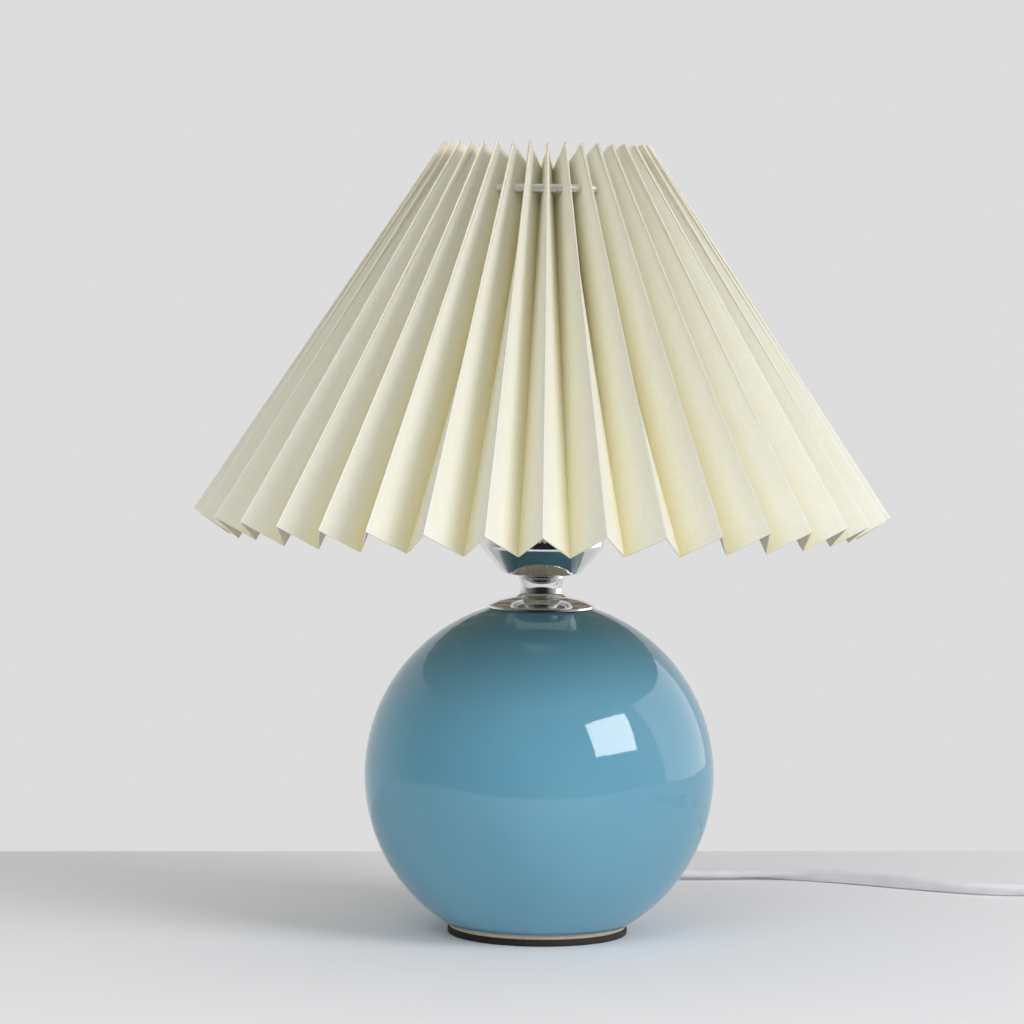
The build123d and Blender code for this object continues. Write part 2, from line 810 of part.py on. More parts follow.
# Hand switch: two half shells, rocker, screws and contact strips
switch_middle = switch_x + switch_length / 2
switch_top_z = switch_parting_z + switch_upper_height
screw_places = [(switch_middle - post_offset, switch_y), (switch_middle + post_offset, switch_y)]
inner_length = switch_length - 2 * switch_wall
inner_width = switch_width - 2 * switch_wall
with BuildPart() as switch_lower:
    with BuildSketch():
        with Locations((switch_middle, switch_y)):
            RectangleRounded(switch_length, switch_width, switch_corner_radius)
    extrude(amount=switch_lower_height)
    fillet(switch_lower.faces().sort_by(Axis.Z)[0].edges(), radius=switch_wall / 2)
    with BuildSketch(Plane.XY.offset(switch_wall)):
        with Locations((switch_middle, switch_y)):
            RectangleRounded(inner_length, inner_width, switch_corner_radius - switch_wall)
    extrude(amount=switch_lower_height, mode=Mode.SUBTRACT)
    with BuildSketch():
        with Locations(*screw_places):
            Circle(post_radius)
    extrude(amount=switch_lower_height)
    with BuildSketch():
        with Locations(*screw_places):
            Circle(screw_radius + slip_gap)
    extrude(amount=switch_lower_height, mode=Mode.SUBTRACT)
    with BuildSketch():
        with Locations(*screw_places):
            Circle(screw_head_radius + slip_gap)
    extrude(amount=screw_head_height, mode=Mode.SUBTRACT)
switch_lower.part.label = "switch_lower"
export_step(switch_lower.part, "parts/switch_lower.step")

pivot_z = switch_top_z - rocker_pivot_depth
screw_tip_z = screw_head_height + screw_depth
cheek_y = window_width / 2 + cheek_thickness / 2
with BuildPart() as switch_upper:
    with BuildSketch(Plane.XY.offset(switch_parting_z)):
        with Locations((switch_middle, switch_y)):
            RectangleRounded(switch_length, switch_width, switch_corner_radius)
    extrude(amount=switch_upper_height)
    fillet(switch_upper.faces().sort_by(Axis.Z)[-1].edges(), radius=switch_edge_radius)
    with BuildSketch(Plane.XY.offset(switch_parting_z)):
        with Locations((switch_middle, switch_y)):
            RectangleRounded(inner_length, inner_width, switch_corner_radius - switch_wall)
    extrude(amount=switch_upper_height - switch_wall, mode=Mode.SUBTRACT)
    with BuildSketch(Plane.XY.offset(switch_parting_z)):
        with Locations((switch_middle, switch_y - cheek_y), (switch_middle, switch_y + cheek_y)):
            Rectangle(cheek_length, cheek_thickness)
        with Locations(*screw_places):
            Circle(post_radius)
    extrude(amount=switch_upper_height - switch_wall)
    with BuildSketch(Plane.XY.offset(switch_parting_z)):
        with Locations((switch_middle, switch_y)):
            Rectangle(window_length, window_width)
    extrude(amount=switch_upper_height, mode=Mode.SUBTRACT)
    with BuildSketch(Plane.XY.offset(switch_parting_z)):
        with Locations(*screw_places):
            Circle(screw_radius + slip_gap)
    extrude(amount=screw_tip_z + slip_gap - switch_parting_z, mode=Mode.SUBTRACT)
    with BuildSketch(Plane.XZ.offset(-switch_y)):
        with Locations((switch_middle, pivot_z)):
            Circle(rocker_stub_radius + stub_gap)
    extrude(amount=window_width / 2 + cheek_thickness, both=True, mode=Mode.SUBTRACT)
switch_upper.part.label = "switch_upper"
export_step(switch_upper.part, "parts/switch_upper.step")

# Rocker, resting on its off side and turning on two stubs
rocker_plane = Plane(
    origin=(switch_middle, switch_y, pivot_z),
    x_dir=(cos(radians(rocker_tilt)), 0, sin(radians(rocker_tilt))),
    z_dir=(0, -1, 0),
)
rocker_half_width = window_width / 2 - turn_gap
with BuildPart() as switch_rocker:
    with BuildSketch(rocker_plane):
        Polygon(
            (-rocker_half_length, -rocker_low_height),
            (rocker_half_length, -rocker_low_height),
            (rocker_half_length, rocker_tip_height),
            (0, rocker_middle_height),
            (-rocker_half_length, rocker_tip_height),
            align=None,
        )
    extrude(amount=rocker_half_width, both=True)
    with BuildSketch(rocker_plane):
        Circle(rocker_stub_radius)
    extrude(amount=rocker_half_width + rocker_stub_length, both=True)
switch_rocker.part.label = "switch_rocker"
export_step(switch_rocker.part, "parts/switch_rocker.step")

with BuildPart() as switch_screws:
    with BuildSketch():
        with Locations(*screw_places):
            Circle(screw_head_radius)
    extrude(amount=screw_head_height)
    with BuildSketch(Plane.XY.offset(screw_head_height)):
        with Locations(*screw_places):
            Circle(screw_radius)
    extrude(amount=screw_depth)
switch_screws.part.label = "switch_screws"
export_step(switch_screws.part, "parts/switch_screws.step")

with BuildPart() as switch_contacts:
    with BuildSketch(Plane.XY.offset(switch_wall)):
        with Locations((switch_middle - strip_offset, switch_y), (switch_middle + strip_offset, switch_y)):
            Rectangle(strip_length, strip_width)
    extrude(amount=strip_height)
switch_contacts.part.label = "switch_contacts"
export_step(switch_contacts.part, "parts/switch_contacts.step")

# Cord from the switch round to the coil
switch_end_x = switch_x + switch_length
coil_z = cord_floor_z + coil_lift_height
coil_start = (coil_x + coil_radius, coil_y + coil_stub_length, coil_z)
cord_link_points = [
    (switch_end_x + butt_gap, switch_y, switch_parting_z),
    (switch_end_x + 12.0, switch_y, switch_parting_z),
    (switch_end_x + 28.0, 92.0, 5.4),
    (switch_end_x + 40.5, 79.5, 4.2),
    (coil_start[0] + 0.6, 61.0, coil_z),
    (coil_start[0], 42.0, coil_z),
    (coil_start[0], coil_start[1] + butt_gap, coil_z),
]
cord_link_radii = cord_radii(cord_link_points)
with BuildPart() as cord_link:
    with BuildLine() as link_route:
        FilletPolyline(*cord_link_points, radius=cord_link_radii)
    with BuildSketch(Plane(origin=link_route.line @ 0, z_dir=link_route.line % 0)):
        Circle(cord_radius)
    sweep()
cord_link.part.label = "cord_link"
export_step(cord_link.part, "parts/cord_link.step")

# Coil: half circles that step inwards, climb a layer on the innermost, and step out again
coil_top_z = coil_z + coil_layer_height
coil_arcs = []
place = coil_x + coil_radius
side = 1
for turn in range(half_turns_in + 1 + half_turns_out):
    inward = turn <= half_turns_in
    steps = turn if inward else 2 * half_turns_in - turn
    radius = coil_radius - steps * coil_step_width
    start_z = coil_z if inward else coil_top_z
    end_z = coil_z if turn < half_turns_in else coil_top_z
    finish = place - side * 2 * radius
    middle = (place + finish) / 2
    coil_arcs.append(
        (
            Vector(place, coil_y, start_z),
            Vector(middle, coil_y - side * radius, (start_z + end_z) / 2),
            Vector(finish, coil_y, end_z),
        )
    )
    place = finish
    side = -side
coil_end = coil_arcs[-1][2] - Vector(0, coil_stub_length, 0)
with BuildPart() as cord_coil:
    with BuildLine() as coil_route:
        Line(coil_start, coil_arcs[0][0])
        for start, middle, finish in coil_arcs:
            ThreePointArc(start, middle, finish)
        Line(coil_arcs[-1][2], coil_end)
    with BuildSketch(Plane(origin=coil_route.line @ 0, z_dir=coil_route.line % 0)):
        Circle(cord_radius)
    sweep()
cord_coil.part.label = "cord_coil"
export_step(cord_coil.part, "parts/cord_coil.step")

# Strap that ties the coil at its back
tie_inner_low = coil_y + coil_radius - (half_turns_in + 0.5) * coil_step_width - cord_radius - tie_gap
tie_outer_high = coil_y + coil_radius - coil_step_width + cord_radius + tie_gap
tie_span = tie_outer_high - tie_inner_low
tie_height = coil_top_z + cord_floor_z + tie_gap - tie_thickness
tie_plane = Plane(
    origin=(coil_x - coil_step_width, (tie_inner_low + tie_outer_high) / 2, tie_thickness + tie_height / 2),
    x_dir=(0, 1, 0),
    z_dir=(1, 0, 0),
)
with BuildPart() as coil_tie:
    with BuildSketch(tie_plane):
        RectangleRounded(
            tie_span + 2 * tie_thickness, tie_height + 2 * tie_thickness, tie_corner_radius + tie_thickness
        )
        RectangleRounded(tie_span, tie_height, tie_corner_radius, mode=Mode.SUBTRACT)
    extrude(amount=tie_width / 2, both=True)
coil_tie.part.label = "coil_tie"
export_step(coil_tie.part, "parts/coil_tie.step")

# Cord from the coil to the plug
plug_z = plug_thickness / 2
plug_x = coil_end.X
relief_y = coil_y - tail_length
cord_tail_points = [
    (plug_x, coil_end.Y - butt_gap, coil_end.Z),
    (plug_x, coil_end.Y - 13.0, coil_end.Z),
    (plug_x, coil_end.Y - 29.0, plug_z),
    (plug_x, relief_y + butt_gap, plug_z),
]
cord_tail_radii = cord_radii(cord_tail_points)
with BuildPart() as cord_tail:
    with BuildLine() as tail_route:
        FilletPolyline(*cord_tail_points, radius=cord_tail_radii)
    with BuildSketch(Plane(origin=tail_route.line @ 0, z_dir=tail_route.line % 0)):
        Circle(cord_radius)
    sweep()
cord_tail.part.label = "cord_tail"
export_step(cord_tail.part, "parts/cord_tail.step")

# Flat two-pin plug, lying on its wide side, with a tapered cord relief
plug_back_y = relief_y - relief_length
plug_face_y = plug_back_y - plug_length
relief_plane = Plane(origin=(plug_x, relief_y, plug_z), x_dir=(0, -1, 0), z_dir=(-1, 0, 0))
pin_plane = Plane(origin=(plug_x, plug_face_y, plug_z), x_dir=(1, 0, 0), z_dir=(0, -1, 0))
with BuildPart() as plug_body:
    with BuildSketch():
        Polygon(
            (plug_x - plug_neck_width / 2, plug_back_y),
            (plug_x - plug_width / 2, plug_face_y + plug_straight_length),
            (plug_x - plug_width / 2, plug_face_y),
            (plug_x + plug_width / 2, plug_face_y),
            (plug_x + plug_width / 2, plug_face_y + plug_straight_length),
            (plug_x + plug_neck_width / 2, plug_back_y),
            align=None,
        )
    extrude(amount=plug_thickness)
    fillet(plug_body.edges().filter_by(Axis.Z), radius=plug_edge_radius)
    fillet(plug_body.faces().filter_by(Axis.Z).edges(), radius=plug_edge_radius / 2)
    with BuildSketch(relief_plane):
        Polygon(
            (0, 0),
            (0, relief_end_radius),
            (relief_length + plug_edge_radius, relief_radius),
            (relief_length + plug_edge_radius, 0),
            align=None,
        )
    revolve(axis=Axis((plug_x, relief_y, plug_z), (0, -1, 0)))
    with BuildSketch(pin_plane):
        with Locations((-pin_spacing / 2, 0), (pin_spacing / 2, 0)):
            Circle(pin_core_radius + sleeve_gap)
    extrude(amount=-pin_depth, mode=Mode.SUBTRACT)
plug_body.part.label = "plug_body"
export_step(plug_body.part, "parts/plug_body.step")

with BuildPart() as plug_pins:
    with BuildSketch(pin_plane.offset(-pin_depth)):
        with Locations((-pin_spacing / 2, 0), (pin_spacing / 2, 0)):
            Circle(pin_core_radius)
    extrude(amount=pin_depth + sleeve_length)
    with BuildSketch(pin_plane.offset(sleeve_length)):
        with Locations((-pin_spacing / 2, 0), (pin_spacing / 2, 0)):
            Circle(pin_radius)
    extrude(amount=pin_length - sleeve_length)
plug_pins.part.label = "plug_pins"
export_step(plug_pins.part, "parts/plug_pins.step")

with BuildPart() as pin_sleeves:
    with BuildSketch(pin_plane):
        with Locations((-pin_spacing / 2, 0), (pin_spacing / 2, 0)):
            Circle(sleeve_radius)
            Circle(pin_core_radius + sleeve_gap, mode=Mode.SUBTRACT)
    extrude(amount=sleeve_length)
pin_sleeves.part.label = "pin_sleeves"
export_step(pin_sleeves.part, "parts/pin_sleeves.step")

# Cord report: arcs, and each tube's volume against its section times its length
cord_area = pi * cord_radius**2
for name, tube, route in (
    ("cord_run", cord_run, run_route),
    ("cord_link", cord_link, link_route),
    ("cord_coil", cord_coil, coil_route),
    ("cord_tail", cord_tail, tail_route),
    ("inner_lead", inner_lead, inner_route),
):
    length = sum(edge.length for edge in route.edges())
    share = tube.part.volume / (cord_area * length)
    print(name, "length", round(length, 1), "volume share", round(share, 4))
for name, radii in (("run", cord_run_radii), ("link", cord_link_radii), ("tail", cord_tail_radii)):
    print(name, "radii", [round(radius) for radius in radii])
samples_a_turn = 40
samples = samples_a_turn * len(coil_arcs)
coil_points = [coil_route.line @ (index / samples) for index in range(samples + 1)]
nearest = min(
    (first - second).length
    for index, first in enumerate(coil_points)
    for second in coil_points[index + samples_a_turn // 2 :]
)
print("coil gap", round(nearest - cord_diameter, 2))
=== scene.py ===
"""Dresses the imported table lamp: glazed ball, chrome neck, pleated shade, bulb and cord."""

from __future__ import annotations

import logging
import math
import random
from dataclasses import dataclass, field
from enum import Enum
from typing import Any, Sequence

import bpy
from mathutils import Matrix, Vector

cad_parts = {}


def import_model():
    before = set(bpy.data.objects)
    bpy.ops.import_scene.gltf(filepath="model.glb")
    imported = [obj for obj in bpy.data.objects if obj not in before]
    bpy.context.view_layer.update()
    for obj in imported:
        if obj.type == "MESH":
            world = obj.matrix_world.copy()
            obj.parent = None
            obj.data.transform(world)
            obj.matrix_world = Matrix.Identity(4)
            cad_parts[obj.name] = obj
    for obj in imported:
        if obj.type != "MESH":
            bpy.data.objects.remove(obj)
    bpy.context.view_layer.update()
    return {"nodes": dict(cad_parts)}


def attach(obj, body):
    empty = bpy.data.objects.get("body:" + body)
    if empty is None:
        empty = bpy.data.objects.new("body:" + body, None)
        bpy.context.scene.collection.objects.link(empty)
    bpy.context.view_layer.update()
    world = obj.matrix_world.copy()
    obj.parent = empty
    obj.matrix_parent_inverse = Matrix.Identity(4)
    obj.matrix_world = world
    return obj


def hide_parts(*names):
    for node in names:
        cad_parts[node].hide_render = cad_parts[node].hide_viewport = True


MM = 0.001
WELD = 0.002 * MM
# How far a point may lie from a wall's radius and still belong to the wall, in millimetres.
ON_WALL = 0.01
STRIP_MAP, PLEAT_MAP = "strip", "pleat"

Piece = bpy.types.Object
Socket = bpy.types.NodeSocket
Colour = tuple[float, float, float]
Point2 = tuple[float, float]
Point3 = tuple[float, float, float]
Profile = tuple[Point2, ...]

# Spans of a noise pattern's value that a change is spread over, and the plain range.
NARROW: Point2 = (0.35, 0.65)
WIDE: Point2 = (0.3, 0.7)
UNIT: Point2 = (0.0, 1.0)

log = logging.getLogger("table_lamp")


class Body(Enum):
    """CAD bodies that the pieces ride on."""

    BASE = "lamp_base"
    SHADE = "shade"
    NUT = "ring_nut"
    BULB = "bulb"


class Slot(Enum):
    """Material slots of the record."""

    PAD = "pad_black"
    GLAZE = "blue_glaze"
    STEEL = "plated_steel"
    CHROME = "chrome"
    HOLDER = "holder_black"
    CORD = "cord_white"
    FITTING = "fitting_white"
    TIE = "tie_fabric"
    SHADE = "shade_cream"
    OPAL = "bulb_opal"


class Smooth(Enum):
    """Angles between faces, in degrees, up to which they are shaded as one surface."""

    TURNED = 32
    CLOTH = 40
    SOFT = 50


def solid(colour: Any) -> Any:
    """A plain colour with full alpha, or a node's output as it is."""
    return colour if isinstance(colour, Socket) else (*colour, 1.0)


class Nodes:
    """The node tree of one material or of the sky, filled by name."""

    def __init__(self, tree: bpy.types.NodeTree, shader: str = "Principled BSDF") -> None:
        """Takes a new tree, which holds its shader already."""
        self.tree = tree
        self.shader = tree.nodes[shader]

    def add(self, kind: str, inputs: dict[Any, Any] | None = None, **settings: Any) -> bpy.types.Node:
        """Adds one node.

        Args:
            kind: The node's type, without its ShaderNode prefix.
            inputs: Values or other nodes' outputs, by input name or index.
            settings: Properties of the node itself.

        Returns:
            The new node.
        """
        node = self.tree.nodes.new("ShaderNode" + kind)
        for name, value in settings.items():
            setattr(node, name, value)
        for name, value in (inputs or {}).items():
            self.feed(node, name, value)
        return node

    def feed(self, node: bpy.types.Node, name: Any, value: Any) -> None:
        """Links an output to one of a node's inputs, or sets the input's own value.

        Args:
            node: The node to feed.
            name: The input's name or index.
            value: A value, or another node's output.
        """
        if isinstance(value, Socket):
            self.tree.links.new(value, node.inputs[name])
        else:
            node.inputs[name].default_value = value

    def dress(self, **inputs: Any) -> None:
        """Feeds the shader. Underscores in the names stand for spaces."""
        for name, value in inputs.items():
            self.feed(self.shader, name.replace("_", " "), value)

    def place(self) -> Socket:
        """Places on the object, in metres."""
        return self.add("TexCoord").outputs["Object"]

    def maths(self, operation: str, first: Any, second: Any) -> Socket:
        """Works out one value from two."""
        return self.add("Math", {0: first, 1: second}, operation=operation).outputs[0]

    def noise(self, vector: Socket, scale: float, detail: float) -> Socket:
        """A noise pattern's value, for a scale in cycles per metre."""
        return self.add("TexNoise", {"Vector": vector, "Scale": scale, "Detail": detail}).outputs[0]

    def between(self, value: Socket, span: Sequence[float], result: Sequence[Any] = UNIT) -> Socket:
        """Maps a value from a span to a result, held at both ends."""
        limits = dict(enumerate((value, *span, *result)))
        return self.add("MapRange", limits).outputs[0]

    def mix(self, factor: Socket, first: Any, second: Any) -> Socket:
        """Mixes two colours by a factor."""
        inputs = {0: factor, 6: solid(first), 7: solid(second)}
        return self.add("Mix", inputs, data_type="RGBA").outputs[2]

    def bump(self, height: Socket, depth: float) -> Socket:
        """A bumped normal, for a depth in metres."""
        return self.add("Bump", {"Height": height, "Distance": depth}).outputs[0]


@dataclass(frozen=True)
class Finish:
    """A surface finish, made once as a node material. Its scales are in cycles per metre."""

    name: str

    def material(self) -> bpy.types.Material:
        """The finish's material, made on first use.

        Returns:
            The material.
        """
        ready = bpy.data.materials.get(self.name)
        if ready is None:
            ready = bpy.data.materials.new(self.name)
            ready.use_nodes = True
            self.paint(Nodes(ready.node_tree))
        return ready

    def paint(self, nodes: Nodes) -> None:
        """Fills the material's nodes."""
        raise NotImplementedError


@dataclass(frozen=True)
class SurfaceFinish(Finish):
    """A finish with fine mottling, uneven gloss and grain."""

    colour: Colour
    tint: Colour
    mottle: float
    rough: Point2
    grain: float = 2500.0
    depth: float = 0.00002
    metallic: float = 0.0
    coat: float = 0.0

    def paint(self, nodes: Nodes) -> None:
        """Mottles the colour and the gloss and adds the grain.

        Args:
            nodes: The material's nodes.
        """
        place = nodes.place()
        patches = nodes.noise(place, self.mottle, detail=5.0)
        nodes.dress(
            Base_Color=nodes.mix(nodes.between(patches, NARROW), self.colour, self.tint),
            Roughness=nodes.between(patches, WIDE, self.rough),
            Normal=nodes.bump(nodes.noise(place, self.grain, detail=2.0), self.depth),
            Metallic=self.metallic,
            Coat_Weight=self.coat,
        )


@dataclass(frozen=True)
class GlazeFinish(Finish):
    """Glossy glaze over the ball, ending in a bare clay foot.

    The edge is the height where the bare clay ends and the one where the glaze is whole.
    """

    glaze: Colour
    thin_glaze: Colour
    clay: Colour
    grog: Colour
    edge: Point2
    drift_scale: float = 14.0
    wander: Point2 = (-0.0003, 0.0003)
    wander_scale: float = 160.0
    grog_share: Point2 = (0.0, 0.35)
    grog_scale: float = 900.0
    peel_depth: float = 0.000012
    peel_scale: float = 420.0
    rough: Point2 = (0.8, 0.045)

    def paint(self, nodes: Nodes) -> None:
        """Blends thick and thin glaze and leaves the foot unglazed.

        Args:
            nodes: The material's nodes.
        """
        place = nodes.place()
        height = nodes.add("SeparateXYZ", {0: place}).outputs[2]
        drift = nodes.between(nodes.noise(place, self.drift_scale, detail=3.0), NARROW)
        glaze = nodes.mix(drift, self.glaze, self.thin_glaze)
        waves = nodes.noise(place, self.wander_scale, detail=3.0)
        wander = nodes.between(waves, span=(0.2, 0.8), result=self.wander)
        glazed = nodes.between(nodes.maths("ADD", height, wander), self.edge)
        grains = nodes.noise(place, self.grog_scale, detail=3.0)
        speckle = nodes.between(grains, span=(0.4, 0.7), result=self.grog_share)
        clay = nodes.mix(speckle, self.clay, self.grog)
        nodes.dress(
            Base_Color=nodes.mix(glazed, clay, glaze),
            Roughness=nodes.between(glazed, UNIT, self.rough),
            Normal=nodes.bump(nodes.noise(place, self.peel_scale, detail=2.0), self.peel_depth),
            IOR=1.52,
        )


@dataclass(frozen=True)
class PleatFinish(Finish):
    """Woven, paper-backed shade cloth with pressed folds.

    Places across a panel run from 0 at its outer fold to 1 at its inner one. Near 0 lies wear with a painted
    highlight, near 1 painted shade.
    """

    cloth: Colour
    # Paler colour along the outer folds: wear and a painted highlight.
    fold: Colour
    # Painted shade: a darker, yellower colour towards the inner folds, where the valleys lie in shade; the
    # weave's gaps take it too.
    valley_shade: Colour
    # Span across a panel over which the wear and painted highlight on the outer folds fade out.
    wear_and_highlight: Point2 = (0.012, 0.05)
    # Span across a panel over which the painted valley shade comes in.
    valley_shade_span: Point2 = (0.45, 1.0)
    thread_scales: Point2 = (1000.0, 120.0)
    weave_shadow: float = 0.3
    weave_depth: float = 0.0001
    glowing: Point2 = (0.02, 0.12)
    glow: float = 0.35
    glow_colour: Colour = (1.0, 0.95, 0.7)
    glow_reach: float = 0.0006

    def paint(self, nodes: Nodes) -> None:
        """Weaves the cloth, pales its outer folds with wear and a painted highlight and gives its inner ones
        painted shade.

        Args:
            nodes: The material's nodes.
        """
        strip, pleat = (nodes.add("UVMap", uv_map=name).outputs[0] for name in (STRIP_MAP, PLEAT_MAP))
        across = nodes.add("SeparateXYZ", {0: pleat}).outputs[0]
        fine, long = self.thread_scales
        warp, weft = (
            nodes.noise(nodes.add("Mapping", {"Vector": strip, "Scale": scale}).outputs[0], 1.0, detail=3.0)
            for scale in ((fine, long, 1.0), (long, fine, 1.0))
        )
        weave = nodes.maths("ADD", warp, weft)
        # Outer folds made paler: wear with a painted highlight.
        wear_and_highlight = nodes.mix(nodes.between(across, self.wear_and_highlight, (1.0, 0.0)), self.cloth, self.fold)
        # Painted shade: the colour turns darker and yellower towards the inner folds.
        tone = nodes.mix(nodes.between(across, self.valley_shade_span), wear_and_highlight, self.valley_shade)
        shadow = nodes.between(weave, span=(0.75, 1.25), result=(self.weave_shadow, 0.0))
        nodes.dress(
            Base_Color=nodes.mix(shadow, tone, self.valley_shade),
            Roughness=nodes.between(weave, span=(0.7, 1.3), result=(0.95, 0.75)),
            Normal=nodes.bump(weave, self.weave_depth),
            Sheen_Weight=0.15,
            Sheen_Roughness=0.5,
            Specular_IOR_Level=0.25,
            Subsurface_Weight=nodes.between(across, self.glowing, (0.0, self.glow)),
            Subsurface_Radius=self.glow_colour,
            Subsurface_Scale=self.glow_reach,
        )


@dataclass(frozen=True)
class StrapFinish(Finish):
    """Woven hook-and-loop strap."""

    colour: Colour
    gap: Colour
    thread_scale: float = 420.0
    depth: float = 0.00015

    def paint(self, nodes: Nodes) -> None:
        """Weaves the strap in two directions.

        Args:
            nodes: The material's nodes.
        """
        inputs = {"Vector": nodes.place(), "Scale": self.thread_scale}
        bands, ribs = (nodes.add("TexWave", inputs, bands_direction=way).outputs[1] for way in "XY")
        weave = nodes.maths("MULTIPLY", bands, ribs)
        colour = nodes.mix(weave, self.gap, self.colour)
        nodes.dress(Base_Color=colour, Roughness=0.9, Normal=nodes.bump(weave, self.depth), Sheen_Weight=0.3)


@dataclass(frozen=True)
class TableFinish(Finish):
    """Plain pale table top."""

    colour: Colour
    rough: Point2
    patches: float = 6.0

    def paint(self, nodes: Nodes) -> None:
        """Paints the table evenly, with a faint unevenness in its gloss."""
        gloss = nodes.between(nodes.noise(nodes.place(), self.patches, detail=4.0), WIDE, self.rough)
        nodes.dress(Base_Color=solid(self.colour), Roughness=gloss, Specular_IOR_Level=0.1)


GLAZE = GlazeFinish(
    "ball_glaze",
    glaze=(0.125, 0.335, 0.46),
    thin_glaze=(0.15, 0.37, 0.49),
    clay=(0.62, 0.53, 0.42),
    grog=(0.42, 0.33, 0.24),
    edge=(0.0039, 0.0042),
)
CHROME = SurfaceFinish(
    "neck_chrome", (0.83, 0.83, 0.84), (0.78, 0.78, 0.79), 60.0, (0.03, 0.07), 900.0, 0.000002, metallic=1.0
)
PAD = SurfaceFinish(
    "foot_rubber", (0.012, 0.012, 0.012), (0.02, 0.02, 0.02), 200.0, (0.7, 0.85), 1800.0, 0.00008
)
# Cloth, then the outer folds' paler colour (wear with a painted highlight), then painted shade for the inner
# folds.
PLEATS = PleatFinish("shade_cloth", (0.855, 0.845, 0.745), (0.925, 0.915, 0.875), (0.795, 0.745, 0.49))
LINING = SurfaceFinish(
    "shade_paper_lining", (0.82, 0.76, 0.6), (0.78, 0.72, 0.56), 220.0, (0.8, 0.95), 1200.0, 0.00005
)
HOLDER = SurfaceFinish(
    "holder_black_moulding", (0.012, 0.012, 0.012), (0.02, 0.02, 0.02), 150.0, (0.25, 0.4)
)
INSULATOR = SurfaceFinish("holder_insulator", (0.74, 0.72, 0.67), (0.68, 0.66, 0.6), 300.0, (0.5, 0.65))
BRASS = SurfaceFinish("contact_brass", (0.72, 0.5, 0.2), (0.6, 0.4, 0.15), 200.0, (0.2, 0.35), metallic=1.0)
STEEL = SurfaceFinish("plated_steel", (0.6, 0.6, 0.6), (0.5, 0.5, 0.49), 150.0, (0.22, 0.36), metallic=1.0)
WIRE = SurfaceFinish("frame_wire", (0.72, 0.72, 0.71), (0.68, 0.68, 0.67), 250.0, (0.24, 0.34), metallic=0.4)
SHEATH = SurfaceFinish(
    "cord_sheath", (0.86, 0.86, 0.87), (0.79, 0.79, 0.8), 120.0, (0.35, 0.5), 1500.0, 0.00003
)
FITTING = SurfaceFinish("white_moulding", (0.82, 0.82, 0.8), (0.805, 0.805, 0.782), 45.0, (0.26, 0.31))
SLEEVE = SurfaceFinish("black_moulding", (0.015, 0.015, 0.015), (0.022, 0.022, 0.022), 200.0, (0.4, 0.55))
OPAL = SurfaceFinish("bulb_opal", (0.86, 0.86, 0.84), (0.83, 0.83, 0.8), 40.0, (0.2, 0.28), coat=0.2)
STRAP = StrapFinish("tie_weave", (0.7, 0.7, 0.68), (0.45, 0.45, 0.43))
TABLE = TableFinish("pale_table", (0.93, 0.92, 0.925), (0.7, 0.8))

CAD_FINISHES: dict[Finish, tuple[str, ...]] = {
    STEEL: (
        "threaded_nipple", "clamp_washer", "spring_washer", "clamp_nut", "switch_screws",
        "plug_pins", "bulb_contact",
    ),
    INSULATOR: ("holder_insert",),
    BRASS: ("screw_shell", "centre_contact", "terminal_screws", "switch_contacts"),
    SHEATH: ("terminal_wires", "inner_lead"),
    FITTING: ("switch_lower", "switch_upper", "switch_rocker", "plug_body"),
    SLEEVE: ("pin_sleeves", "bulb_insulator"),
    WIRE: ("fitter_ring", "frame_arms", "hanging_ring"),
}


def arc_through(start: Point2, middle: Point2, end: Point2, count: int) -> list[Point2]:
    """Points of the circular arc through three points.

    Args:
        start: First point.
        middle: A point on the arc between the ends.
        end: Last point.
        count: Number of steps.

    Returns:
        The arc's points, both ends included.
    """
    (ax, ay), (bx, by), (cx, cy) = start, middle, end
    size = 2 * (ax * (by - cy) + bx * (cy - ay) + cx * (ay - by))
    aa, bb, cc = ax * ax + ay * ay, bx * bx + by * by, cx * cx + cy * cy
    ux = (aa * (by - cy) + bb * (cy - ay) + cc * (ay - by)) / size
    uy = (aa * (cx - bx) + bb * (ax - cx) + cc * (bx - ax)) / size
    radius = math.hypot(ax - ux, ay - uy)
    first, mid, last = (math.atan2(y - uy, x - ux) for x, y in (start, middle, end))
    turn = (last - first) % math.tau
    if (mid - first) % math.tau > turn:
        turn -= math.tau
    angles = [first + turn * step / count for step in range(count + 1)]
    return [(ux + radius * math.cos(angle), uy + radius * math.sin(angle)) for angle in angles]


def bent_sheet(corners: Sequence[Point2], radii: Sequence[float], steps: int) -> list[Point2]:
    """Profile of a sheet or strap, bent at each corner between its ends.

    Args:
        corners: Ends and corners of the profile.
        radii: Radius of each bend.
        steps: Steps of each bend.

    Returns:
        The profile's points.
    """
    points = [corners[0]]
    for before, corner, after, radius in zip(corners, corners[1:], corners[2:], radii):
        here = Vector(corner)
        back, onward = (Vector(before) - here).normalized(), (Vector(after) - here).normalized()
        half = back.angle(onward) / 2
        reach, lift = radius / math.tan(half), radius / math.sin(half) - radius
        middle = here + (back + onward).normalized() * lift
        points += arc_through(tuple(here + back * reach), tuple(middle), tuple(here + onward * reach), steps)
    return points + [corners[-1]]


def rows(radius: float, low: float, high: float, count: int) -> list[Point2]:
    """Evenly spaced profile points up a cylinder."""
    return [(radius, low + (high - low) * step / count) for step in range(count + 1)]


def shifted(shape: Sequence[Point2], radius: float, height: float) -> list[Point2]:
    """A stretch of profile, moved out by a radius and up by a height."""
    return [(radius + out, height + up) for out, up in shape]


def low_edge(radius: float, height: float, cut: float) -> list[Point2]:
    """A bevel from an underside to the wall outside it."""
    return [(radius - cut, height), (radius, height + cut)]


